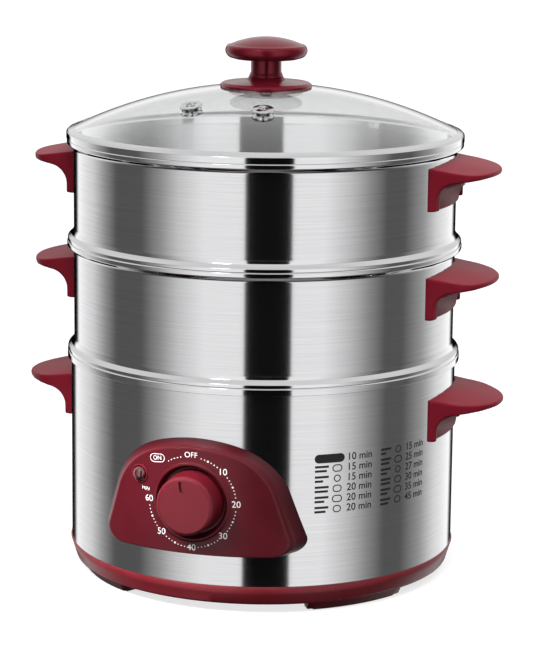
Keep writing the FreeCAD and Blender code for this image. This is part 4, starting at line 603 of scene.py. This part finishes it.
def panel_outline():
    """Outline of the panel seen from the front at TURNS even angles round the dial, and how each point
    moves per mm of lean (all but the foot moves) and per mm of inset (everything moves).
    Crown and shoulders are c + r (sin a, cos a) and move by -(sin a, cos a); the sides move by their
    normal n = (cos l, sin l); the lower corners keep their radius, so they slide by 1 / cos l."""
    slide = 1 / math.cos(SIDE_LEAN)
    drawn_in = (1 + math.sin(SIDE_LEAN)) / math.cos(SIDE_LEAN)
    apart = CROWN - SHOULDER
    shoulder = np.array([apart * math.sin(CROWN_SPAN), PANEL_TOP - CROWN + apart * math.cos(CROWN_SPAN)])
    side = shoulder + SHOULDER * np.array([math.cos(SIDE_LEAN), math.sin(SIDE_LEAN)])
    foot_x = side[0] + (side[1] - PANEL_FOOT) * math.tan(SIDE_LEAN)
    touch = foot_x - CORNER / math.tan((math.pi / 2 - SIDE_LEAN) / 2)
    rows = []
    for centre, radius, start, stop in (
            ((0, PANEL_TOP - CROWN), CROWN, 0, CROWN_SPAN),
            (shoulder, SHOULDER, CROWN_SPAN, math.pi / 2 - SIDE_LEAN)):
        a = np.linspace(start, stop, PIECE)
        ray = np.stack((np.sin(a), np.cos(a)), 1)
        rows.append(np.concatenate((centre + radius * ray, -ray, -ray), 1))
    a = np.linspace(math.pi / 2 - SIDE_LEAN, math.pi, PIECE)
    ray = np.stack((np.sin(a), np.cos(a)), 1)
    same = np.ones((PIECE, 1))
    rows.append(np.concatenate(((touch, PANEL_FOOT + CORNER) + CORNER * ray,
                                same * (-slide, 0), same * (-drawn_in, 1)), 1))
    share = np.linspace(1, 0, PIECE)[:, None]
    rows.append(np.concatenate((share * touch, same * PANEL_FOOT, -share * slide, share * 0,
                                -share * drawn_in, same), 1))
    half = np.concatenate(rows)
    turn = np.arctan2(half[:, 0], half[:, 1] - DIAL)
    wanted = np.arange(TURNS) * 2 * math.pi / TURNS
    mirrored = wanted > math.pi
    folded = np.where(mirrored, 2 * math.pi - wanted, wanted)
    outline = np.stack([np.interp(folded, turn, column) for column in half.T], 1)
    outline[:, (0, 2, 4)] *= np.where(mirrored, -1, 1)[:, None]
    return outline, wanted


OUTLINE, ROUND_DIAL = panel_outline()


def panel_ring(radius, inset):
    """Ring of the outline on a cylinder about the steamer's axis: x, z = outline + lean s + inset e,
    where s = (|y| - housing) tan(lean of the walls) and |y| = sqrt(radius^2 - x^2), found in 8 rounds."""
    lean = np.zeros(TURNS)
    for _ in range(8):
        x = OUTLINE[:, 0] + OUTLINE[:, 2] * lean + OUTLINE[:, 4] * inset
        out = np.sqrt(radius * radius - x * x)
        lean = (out - HOUSING) * math.tan(WALL_LEAN)
    z = OUTLINE[:, 1] + OUTLINE[:, 3] * lean + OUTLINE[:, 5] * inset
    return np.stack((x, -out, z), 1)


def dial_ring(radius, height, flat=0.0):
    """Circle round the dial on the cylinder of the panel's face raised by height; flat 1 makes it plane."""
    x = radius * np.sin(ROUND_DIAL)
    out = np.sqrt((PANEL + height) ** 2 - x * x) * (1 - flat) + (PANEL + height) * flat
    return np.stack((x, -out, DIAL + radius * np.cos(ROUND_DIAL)), 1)


def ring_surface(name, rings, material):
    """Quads between rings of points, closed round each ring and from the last ring to the first."""
    rings = np.stack(rings)
    count, around = rings.shape[:2]
    steps = np.arange(around)
    onward = (steps + 1) % around
    low = np.arange(count)[:, None] * around
    high = np.roll(low, -1, 0)
    quads = np.stack((low + steps, low + onward, high + onward, high + steps), 2).reshape(-1, 4)
    points = rings.reshape(-1, 3)
    a, b, c, d = (points[quads[:, k]] for k in range(4))
    if np.sum(np.cross(c - a, d - b) * (a + b + c + d)) < 0:
        quads = quads[:, ::-1]
    return mesh_object(name, points, quads, materials=(material,))


def face_ring(share):
    """Ring on the panel's face at a share of the way from the lip's foot to the rounded edge, with
    |y| = sqrt(panel^2 - x^2)."""
    inner, outer = dial_ring(LIP_FOOT, 0), panel_ring(PANEL, EDGE_DRAW)
    ring = inner + (outer - inner) * share
    ring[:, 1] = -np.sqrt(PANEL ** 2 - ring[:, 0] ** 2)
    return ring


# the walls' foot, the rounded edge and the face's rim, as (inset, radius, fillet)
edge, _, _ = rounded(((0, WALL_END), (0, PANEL, EDGE_ROUND), (EDGE_DRAW, PANEL)), 9, closed=False)
# the raised lip and the well as (radius, height over the face, fillet); below the lip the well turns flat
LIP, LIP_HEIGHT, WELL_MOUTH = 26.9, 1.1, -1.6
lip, _, _ = rounded((
    (LIP_FOOT, 0),
    (LIP + LIP_HEIGHT, 0, 2.6),
    (LIP, LIP_HEIGHT, 1.2),
    (LIP - 1.3, LIP_HEIGHT, 1.2),
    (WELL, WELL_MOUTH, 1.0),
    (WELL_FLOOR, -WELL_DEPTH, 0.8),
    (SHAFT_BORE, -WELL_DEPTH)), 8, closed=False)
panel_rings = [panel_ring(radius, inset) for inset, radius in edge]
panel_rings += [face_ring(share) for share in np.linspace(0.95, 0.05, 16)]
for radius, height in lip:
    flat = np.clip((WELL_MOUTH - height) / (WELL_DEPTH + WELL_MOUTH), 0, 1)
    panel_rings.append(dial_ring(radius, height, flat))
# the back: the cup round the well, and the inside of the walls
panel_rings += [
    dial_ring(SHAFT_BORE, -CUP_DEPTH, 1.0),
    dial_ring(CUP, -CUP_DEPTH, 1.0),
    dial_ring(CUP, -PANEL_WALL),
    panel_ring(PANEL - PANEL_WALL, PANEL_WALL),
    panel_ring(WALL_END, PANEL_WALL)]
panel = ring_surface("control_panel_shell", panel_rings, MATERIALS["wine_plastic"])
panel.data.transform(FACING)


def cut_away(piece, cutter):
    """Take a cutter's shape out of a piece's mesh; the cutter goes."""
    cutting = piece.modifiers.new("Cut", "BOOLEAN")
    cutting.object = cutter
    cutting.solver = "EXACT"
    mesh = freeze(piece)
    bpy.data.objects.remove(cutter)
    smooth(mesh)
    mesh.set_sharp_from_angle(angle=CUT_CREASE)


# the timer's knob: outer radius, length, bore for the shaft, and thickness of its face
KNOB, KNOB_LENGTH, KNOB_BORE, KNOB_WALL = 21.7, 18.6, 3.03, 4.5
# radii of its hub, of the hollow at the face and at the foot, and of the face
HUB, HOLLOW, HOLLOW_FOOT, KNOB_FACE = 6.0, 17.1, 19.5, 20.5
# the pointer's groove: half width, from and to which radius, depth, and its turn on the knob at OFF
POINTER, POINTER_IN, POINTER_OUT, POINTER_DEPTH, POINTER_TURN = 1.2, 10.0, 17.4, 1.6, math.radians(10)
# the knob stands off the floor of its well
KNOB_PLAY = 0.6
hollow_top = KNOB_LENGTH - KNOB_WALL
bore_top = hollow_top - 0.4
knob = turned("timer_knob_cap", (
    (KNOB_BORE, 0),
    (HUB, 0, 0.2),
    (HUB, hollow_top),
    (HOLLOW, hollow_top),
    (HOLLOW_FOOT, 0, 0.2),
    (KNOB, 0, 0.5),
    (KNOB, 2.4, 1.0),
    (KNOB_FACE, KNOB_LENGTH, 3.0),
    (POINTER_IN, KNOB_LENGTH),
    (0, KNOB_LENGTH),
    (0, bore_top),
    (KNOB_BORE, bore_top)),
    (MATERIALS["knob_plastic"],), 192, 10)
groove_corners = [(x, y, z) for x in (-POINTER, POINTER) for y in (POINTER_IN, POINTER_OUT)
                  for z in (KNOB_LENGTH - POINTER_DEPTH, KNOB_LENGTH + 1)]
groove = mesh_object("pointer_groove", groove_corners, (
    (0, 1, 3, 2), (4, 6, 7, 5), (0, 4, 5, 1), (2, 3, 7, 6), (0, 2, 6, 4), (1, 5, 7, 3)))
groove.data.transform(Matrix.Rotation(POINTER_TURN, 4, "Z"))
cut_away(knob, groove)
knob.data.transform(FACING @ Matrix.Translation((0, (WELL_DEPTH - KNOB_PLAY - PANEL) * MM, DIAL * MM))
                    @ Matrix.Rotation(math.pi / 2, 4, "X"))

for piece, node in ((housing, "outer_housing"), (pot, "water_pot"), (glass, "lid_glass"), (band, "lid_rim"),
                    (flange, "lid_knob_base"), (grip, "lid_knob"), (panel, "control_panel"),
                    (knob, "timer_knob")):
    adopt(piece, node, (node,))

# ---- handles and the other nodes


def moulded_skin(node, material, grain, rounds):
    """Copy of a CAD node as the mould gives it: one even mesh with cells of grain mm, whose sharp edges
    are eased by rounds of smoothing."""
    piece = merged_copy(node, material)
    remeshed = piece.modifiers.new("Even", "REMESH")
    remeshed.mode = "VOXEL"
    remeshed.voxel_size = grain * MM
    remeshed.use_smooth_shade = True
    eased = piece.modifiers.new("Ease", "SMOOTH")
    eased.factor = 0.5
    eased.iterations = rounds
    freeze(piece, f"{node}_skin")
    return piece


# a handle's foot stands this far off the steel; how far the shelf falls to its lip, the edge's height
WALL_GAP, SHELF_FALL, SHELF_EDGE = 0.06, 4.0, 4.2
# what the shelf's root rises and its lip thins, full at this share of the way out
ROOT_LIFT, EDGE_THINNING, THIN_FROM = 3.0, 1.7, 0.6
# the screw's recess starts this far below the top of a handle, and stays as it is
SCREW_CLEAR = 9.2


def press_to_wall(piece, wall, reach):
    """Bring what smoothing drew off the steel back to it: points within reach of the wall lie on it."""
    points = points_of(piece.data)
    away = np.hypot(points[:, 0], points[:, 1])
    near = away < (wall + reach) * MM
    points[near, :2] *= ((wall + WALL_GAP) * MM / away[near])[:, None]
    move_points(piece.data, points)


def eased_step(value):
    """Smooth step from 0 to 1: 3v^2 - 2v^3 with v held between 0 and 1."""
    value = np.clip(value, 0, 1)
    return value * value * (3 - 2 * value)


def sweep_shelf(piece, wall, reach):
    """Let the shelf of a handle climb to the wall and thin out to its lip.  With t the share of the way
    from the wall to the tip and S the eased step, a point above the screw's recess rises by
    lift (1 - t) times its share of the height there, and by thinning S(t / full) times its share of the
    edge below the shelf's top."""
    points = points_of(piece.data) / MM
    t = np.clip((np.hypot(points[:, 0], points[:, 1]) - wall) / reach, 0, 1)
    top = points[:, 2].max()
    height = eased_step((points[:, 2] - top + SCREW_CLEAR) / (SCREW_CLEAR - SHELF_FALL))
    depth = eased_step((top - SHELF_FALL * t - points[:, 2]) / SHELF_EDGE)
    points[:, 2] += ROOT_LIFT * (1 - t) * height + EDGE_THINNING * eased_step(t / THIN_FROM) * depth
    move_points(piece.data, points * MM)


# even cells of the handles' meshes in mm, rounds of easing, and the band beside the wall that is pressed
HANDLE_GRAIN, HANDLE_ROUNDS, PRESSED = 0.65, 14, 0.9
# by tier: the wall behind its handles, and how far they stand out from it
for tier, wall, reach in (("base", HOUSING, 38.0), ("middle", VESSEL, 34.0), ("upper", VESSEL, 34.0)):
    for side in ("right", "left"):
        skin = moulded_skin(f"{tier}_handle_{side}", GRIP_PLASTIC, HANDLE_GRAIN, HANDLE_ROUNDS)
        sweep_shelf(skin, wall, reach)
        press_to_wall(skin, wall, PRESSED)
        skin.visible_glossy = False
merged_copy("base_ring", RING_PLASTIC_PAINTED_LIGHT)
for node in ("indicator_lens", "power_inlet", "lid_knob_washer",
             "steam_vent_left", "steam_vent_right", "rubber_feet"):
    merged_copy(node, MATERIALS[SLOT_OF[node]])

# ---- prints and the lamp's ring

# how far the ink stands off its ground
INK_LIFT = 0.06
# the dial's scale: angle of a minute, and radius of its numbers and dots
MINUTE, DIAL_PRINT = math.radians(4.47), 31.9
# size of the font over the height of its capitals
FONT_SIZE = 1.4


def flat_text(words, height, bold=0.0):
    """Letters as a flat shape about their middle, height mm tall and bold mm fatter; points and faces."""
    curve = bpy.data.curves.new("words", "FONT")
    curve.body = words
    curve.size = height * FONT_SIZE
    curve.align_x = "CENTER"
    curve.align_y = "CENTER"
    curve.resolution_u = 4
    curve.offset = bold
    mesh = mesh_of(curve)
    points = points_of(mesh)[:, :2]
    faces = [tuple(face.vertices) for face in mesh.polygons]
    bpy.data.meshes.remove(mesh)
    return points, faces


def flat_disc(radius, count=16):
    """Dot as a polygon: (r cos a, r sin a)."""
    turn = np.arange(count) * 2 * math.pi / count
    return np.stack((radius * np.cos(turn), radius * np.sin(turn)), 1), [tuple(range(count))]


def flat_bar(width, height, count=8):
    """Bar along x, cut across into count quads, so that it bends with the wall."""
    along = np.linspace(-0.5, 0.5, count + 1) * width
    points = np.concatenate([np.stack((along, np.full(count + 1, side * height / 2)), 1) for side in (-1, 1)])
    low = np.arange(count)
    faces = np.stack((low, low + 1, low + count + 2, low + count + 1), 1)
    return points, [tuple(face) for face in faces]


def flat_pill(width, height, line, count=12):
    """Outline of a bar with round ends, line mm thick: two rows of points joined by quads.  The path runs
    round the right end, back along the top, round the left end and along the foot."""
    turn = np.linspace(-math.pi / 2, math.pi / 2, count)
    straight = np.linspace(1, -1, count)[1:-1]
    square = np.ones(count - 2)
    across = np.concatenate((np.ones(count), straight, -np.ones(count), -straight)) * (width - height) / 2
    outward = np.concatenate((
        np.stack((np.cos(turn), np.sin(turn)), 1), np.stack((square * 0, square), 1),
        np.stack((-np.cos(turn), -np.sin(turn)), 1), np.stack((square * 0, -square), 1)))
    centre = np.stack((across, across * 0), 1)
    rows = [outward * radius + centre for radius in (height / 2, height / 2 - line)]
    around = np.arange(len(across))
    onward = (around + 1) % len(across)
    faces = np.stack((around, onward, onward + len(across), around + len(across)), 1)
    return np.concatenate(rows), [tuple(face) for face in faces]


def print_on(name, marks, radius, ink, node, facing=None):
    """One mesh of flat marks wrapped on a cylinder.  A mark is (shape, along, z, tilt), with along in mm
    round it; its points, tilted and moved to (u, v), go to (R sin(u/r), -R cos(u/r), v) with R = r + lift."""
    points, faces = [], []
    first = 0
    for (shape, shape_faces), along, z, tilt in marks:
        u = shape[:, 0] * math.cos(tilt) - shape[:, 1] * math.sin(tilt) + along
        v = shape[:, 0] * math.sin(tilt) + shape[:, 1] * math.cos(tilt) + z
        turn = u / radius
        out = radius + INK_LIFT
        points.append(np.stack((out * np.sin(turn), -out * np.cos(turn), v), 1))
        faces += [tuple(int(i) + first for i in face) for face in shape_faces]
        first += len(shape)
    mesh = bpy.data.meshes.new(name)
    mesh.from_pydata((np.concatenate(points) * MM).tolist(), [], faces)
    mesh.materials.append(ink)
    if facing:
        mesh.transform(facing)
    adopt(placed(name, mesh), node)


def round_the_dial(minutes, distance=DIAL_PRINT):
    """Place of a minute on the dial, as (along, z), clockwise from OFF at the top."""
    return distance * math.sin(minutes * MINUTE), DIAL + distance * math.cos(minutes * MINUTE)


# heights of the letters: numbers, OFF, MIN and ON; the ring round ON: width, height, line
NUMBER_HIGH, OFF_HIGH, MIN_HIGH, ON_HIGH, ON_RING = 4.6, 3.9, 2.6, 3.0, (11.5, 6.0, 0.45)
# where OFF, ON and MIN stand: radius; minute, radius; along and height; and the tilt of the last two
OFF_PLACE, ON_PLACE, MIN_PLACE, TILT = 33.0, (-9.35, 38.0), (-34.6, 86.6), math.radians(4)
SMALL_DOT, LARGE_DOT = flat_disc(0.42), flat_disc(0.72)
dial_marks = [(flat_text(str(number), NUMBER_HIGH), *round_the_dial(number), 0)
              for number in range(10, 61, 10)]
dial_marks += [
    (flat_text("OFF", OFF_HIGH), *round_the_dial(0, OFF_PLACE), 0),
    (flat_text("MIN", MIN_HIGH), *MIN_PLACE, -TILT),
    (flat_text("ON", ON_HIGH), *round_the_dial(*ON_PLACE), TILT),
    (flat_pill(*ON_RING), *round_the_dial(*ON_PLACE), TILT)]
for minute in range(-7, 59):
    # the numbers and OFF stand where the dots beside them would be
    if minute % 10 not in (0, 1, 9) and minute not in (-2, 2):
        dot = LARGE_DOT if minute > 0 and minute % 5 == 0 else SMALL_DOT
        dial_marks.append((dot, *round_the_dial(minute), 0))
print_on("dial_print", dial_marks, PANEL, WHITE_INK, "control_panel", FACING)

# the cooking chart: height of its first row, step to the next, thickness of a bar and its place off the row
CHART_TOP, CHART_PITCH, BAR, BAR_APART = 110.1, 7.18, 1.6, 1.5
# height and boldness of its letters, height and line of its signs, and the label of the first row
TIME_HIGH, TIME_BOLD, SIGN_HIGH, SIGN_LINE, LABEL = 5.2, 0.08, 5.2, 0.75, (22.0, 6.2, 3.1)
# its two columns: where names, signs and times stand round the housing, and how long a name's bar is
COLUMNS = ((80.5, 91.8, 109.0, 10.0), (131.2, 142.6, 160.0, 9.0))
TIMES = ((10, 15, 15, 20, 20, 20), (15, 25, 27, 30, 35, 45))
# by row: share that a name's second bar has of the first, and width of the sign
SECOND_LINE = (0.5, 0.85, 0.6, 0.95, 0.7, 0.8)
SIGN_WIDTH = (5.6, 7.4, 5.2, 6.8, 7.6, 6.2)
chart = []
for (name_at, sign_at, time_at, wide), times in zip(COLUMNS, TIMES):
    for row, minutes in enumerate(times):
        z = CHART_TOP - CHART_PITCH * row
        chart.append((flat_text(f"{minutes} min", TIME_HIGH, TIME_BOLD), time_at, z, 0))
        if times is TIMES[0] and row == 0:
            # a solid label: its outline is half as thick as it is high
            chart.append((flat_pill(*LABEL), (name_at + sign_at) / 2, z, 0))
            continue
        second = wide * SECOND_LINE[row]
        chart.append((flat_bar(wide, BAR), name_at, z + BAR_APART, 0))
        chart.append((flat_bar(second, BAR), name_at - (wide - second) / 2, z - BAR_APART, 0))
        chart.append((flat_pill(SIGN_WIDTH[row], SIGN_HIGH, SIGN_LINE), sign_at, z, 0))
print_on("cooking_chart_print", chart, HOUSING, BLACK_INK, "outer_housing")

# the lamp: its turn from the dial, height, radius, and the width, foot and height of its bezel
LAMP_TURN, LAMP_HEIGHT, LAMP = math.radians(-15.1), 96.5, 5.4
BEZEL, BEZEL_FOOT, BEZEL_TOP = 1.1, -1.0, 0.8
bezel = turned("lamp_bezel", (
    (LAMP + 0.1, BEZEL_FOOT),
    (LAMP + BEZEL, BEZEL_FOOT),
    (LAMP + BEZEL, BEZEL_TOP, 0.5),
    (LAMP + 0.1, BEZEL_TOP, 0.4)),
    (MATERIALS["knob_plastic"],), 64)
lamp_place = Matrix.Translation((0, -PANEL * MM, LAMP_HEIGHT * MM)) @ Matrix.Rotation(math.pi / 2, 4, "X")
bezel.data.transform(FACING @ Matrix.Rotation(LAMP_TURN, 4, "Z") @ lamp_place)
adopt(bezel, "control_panel")

# the studio fills the whole sheen of the steel: the vessels aren't mirrored in each other
for name in ("upper_basket_wall", "upper_basket_floor", "middle_basket_wall", "middle_basket_floor",
             "water_pot_shell", "lid_band", "lid_glass_dome"):
    bpy.data.objects[name].visible_glossy = False
# the CAD nodes that stay in view get the finish of their slot
for node, thing in NODES.items():
    thing.data.materials.clear()
    thing.data.materials.append(MATERIALS[SLOT_OF[node]])

# ---- camera and floor, in metres

# the frame's height and the lens's focal length in pixels; the sensor's 36 mm lie along the height
FRAME_HEIGHT, FOCAL_LENGTH, SENSOR = 647, 2577.75, 36
CAMERA_PITCH, CAMERA_ROLL = math.radians(11.443), math.radians(0.606)
CAMERA_AWAY, CAMERA_ASIDE, CAMERA_HEIGHT = 1.83618, 0.002115, 0.54862
UP = Vector((0, 0, 1))
to_camera = Vector((math.sin(CAMERA_TURN), -math.cos(CAMERA_TURN), 0))
right = Vector((math.cos(CAMERA_TURN), math.sin(CAMERA_TURN), 0))
gaze = -to_camera * math.cos(CAMERA_PITCH) - UP * math.sin(CAMERA_PITCH)
lift = -to_camera * math.sin(CAMERA_PITCH) + UP * math.cos(CAMERA_PITCH)
turning = Matrix((right, lift, -gaze)).transposed().to_4x4() @ Matrix.Rotation(CAMERA_ROLL, 4, "Z")
camera = placed("Camera", bpy.data.cameras.new("Camera"))
camera.matrix_world = Matrix.Translation(
    to_camera * CAMERA_AWAY + right * CAMERA_ASIDE + UP * CAMERA_HEIGHT) @ turning
camera.data.lens = FOCAL_LENGTH * SENSOR / FRAME_HEIGHT
camera.data.sensor_width = SENSOR
camera.data.clip_end = 100
bpy.context.scene.camera = camera

# white paper lit from below: it runs into the white behind it and still takes shadows
paper, paper_tree, paper_shader = new_material("White_Paper")
feed(paper_tree, paper_shader, {
    "Base Color": linear("#B4B4B4"),
    "Roughness": 1.0,
    "Specular IOR Level": 0.0,
    "Emission Color": linear("#FFFFFF"),
    "Emission Strength": 0.72})
FLOOR_REACH = 15.0 / MM
floor_corners = [(x * FLOOR_REACH, y * FLOOR_REACH, 0) for x, y in ((-1, -1), (1, -1), (1, 1), (-1, 1))]
floor = mesh_object("Floor", floor_corners, ((0, 1, 2, 3),), materials=(paper,))
floor.visible_glossy = False
floor.visible_diffuse = False

# ---- studio

# What the steel mirrors.  Azimuths count from the camera's side, heights are sines of the elevation.
# Black flag in front: azimuth of its middle, half widths of its core and with its soft edge
FLAG_TURN, FLAG_CORE, FLAG_EDGE = math.radians(2.6), math.radians(13.4), math.radians(14.2)
# the light that the flag still gives, and the heights between which it ends
FLAG_BLACK, FLAG_FADES, FLAG_ENDS = 0.004, 0.65, 0.8
# below the table it is dark: heights between which the light comes up, and its lowest level
LOW_END, LOW_START, LOW_LEVEL = -0.85, -0.5, 0.07
# softbox overhead, which comes down low behind: its lean, the heights of its soft edge, and its level
CEILING_LEAN, CEILING_FADES, CEILING_STARTS, CEILING_LEVEL = -0.5, 0.50, 0.62, 0.92
# small spotlight high in front left, for the glints on rims, knobs and lamp: place, half widths, level
SPOT_TURN, SPOT_RISE = math.radians(32), math.radians(50)
SPOT_EDGE, SPOT_CORE, SPOT_LEVEL = math.radians(5), math.radians(3.5), 9.0
# what matt surfaces get: heights between which it grows, from the first level to the second
SOFT_LOW, SOFT_HIGH, SOFT_DARK, SOFT_LIGHT = -0.3, 0.8, 0.10, 0.9

world = bpy.data.worlds.new("Studio")
bpy.context.scene.world = world
world.use_nodes = True
tree = world.node_tree
direction = add(tree, "TexCoord").outputs["Generated"]
upward = add(tree, "SeparateXYZ", {0: direction}).outputs["Z"]
ahead, aside = (
    add(tree, "VectorMath", {0: direction, 1: tuple(axis)}, operation="DOT_PRODUCT").outputs["Value"]
    for axis in (to_camera, right))
azimuth = add(tree, "Math", {0: aside, 1: ahead}, operation="ARCTAN2")
# softboxes left and right with a dark flag beside each, and a dark room behind, by share of a full turn
turned_share = add(tree, "Math", {0: azimuth, 1: 1 / (2 * math.pi), 2: 0.5}, operation="MULTIPLY_ADD")
walls = add(tree, "ValToRGB", {"Fac": turned_share}, (
    (0.0, 0.0), (0.070, 0.0), (0.085, 1.35), (0.155, 0.95), (0.195, 0.40), (0.225, 0.12), (0.285, 0.13),
    (0.325, 0.45), (0.355, 0.85), (0.40, 1.22), (0.60, 1.22), (0.645, 0.80), (0.68, 0.40), (0.715, 0.13),
    (0.755, 0.13), (0.805, 0.45), (0.85, 1.0), (0.925, 1.40), (0.94, 0.0), (1.0, 0.0)))
off_flag = add(tree, "Math", {0: azimuth, 1: FLAG_TURN}, operation="SUBTRACT")
off_flag = add(tree, "Math", {0: off_flag}, operation="ABSOLUTE")
beside = add(tree, "MapRange", {"Value": off_flag, "From Min": FLAG_CORE, "From Max": FLAG_EDGE})
above = add(tree, "MapRange", {"Value": upward, "From Min": FLAG_FADES, "From Max": FLAG_ENDS})
flagged = add(tree, "Math", {0: beside, 1: above}, operation="MAXIMUM")
flagged = add(tree, "Math", {0: flagged, 1: FLAG_BLACK}, operation="MAXIMUM")
low = add(tree, "MapRange", {
    "Value": upward, "From Min": LOW_END, "From Max": LOW_START, "To Min": LOW_LEVEL, "To Max": 1.0})
around = add(tree, "Math", {0: walls, 1: low}, operation="MULTIPLY")
around = add(tree, "Math", {0: around, 1: flagged}, operation="MULTIPLY")
leaning = add(tree, "Math", {0: ahead, 1: CEILING_LEAN, 2: upward}, operation="MULTIPLY_ADD")
ceiling = add(tree, "MapRange", {"Value": leaning, "From Min": CEILING_FADES, "From Max": CEILING_STARTS})
sky = add(tree, "Mix", {0: ceiling, 2: around, 3: CEILING_LEVEL})
spot_at = (to_camera * math.cos(SPOT_TURN) - right * math.sin(SPOT_TURN)) * math.cos(SPOT_RISE)
spot_at = spot_at + UP * math.sin(SPOT_RISE)
toward_spot = add(tree, "VectorMath", {0: direction, 1: tuple(spot_at)}, operation="DOT_PRODUCT")
spot = add(tree, "MapRange", {
    "Value": toward_spot.outputs["Value"], "From Min": math.cos(SPOT_EDGE),
    "From Max": math.cos(SPOT_CORE), "To Max": SPOT_LEVEL})
mirrored = add(tree, "Math", {0: sky, 1: spot}, operation="ADD")
soft = add(tree, "MapRange", {
    "Value": upward, "From Min": SOFT_LOW, "From Max": SOFT_HIGH, "To Min": SOFT_DARK, "To Max": SOFT_LIGHT})
path = add(tree, "LightPath")
level = add(tree, "Mix", {0: path.outputs["Is Diffuse Ray"], 2: mirrored, 3: soft})
# seen directly or through the glass, the studio is plain white
clear = add(tree, "Math", {0: path.outputs["Is Camera Ray"], 1: path.outputs["Is Transmission Ray"]},
            operation="MAXIMUM")
feed(tree, tree.nodes["Background"], {
    "Color": add(tree, "Math", {0: level, 1: clear}, operation="MAXIMUM"),
    "Strength": 1.0})


def soft_light(name, place, aim, size, power, spread=180):
    """Square softbox that lights the mouldings but isn't mirrored in the steel; spread is the angle of
    its grid in degrees, size in metres, power in watts."""
    data = bpy.data.lights.new(name, "AREA")
    data.spread = math.radians(spread)
    data.size = size
    data.energy = power
    light = placed(name, data)
    light.location = place
    light.rotation_euler = (Vector(aim) - Vector(place)).to_track_quat("-Z", "Y").to_euler()
    light.visible_glossy = False


soft_light("Top_Softbox", place=(0.45, -0.8, 1.55), aim=(0, 0, 0.2), size=0.9, power=14)
soft_light("Panel_Light", place=(-0.20, -0.32, 0.32), aim=(-0.06, -0.14, 0.11), size=0.12, power=0.20,
           spread=44)
bpy.context.scene.view_settings.view_transform = "Standard"
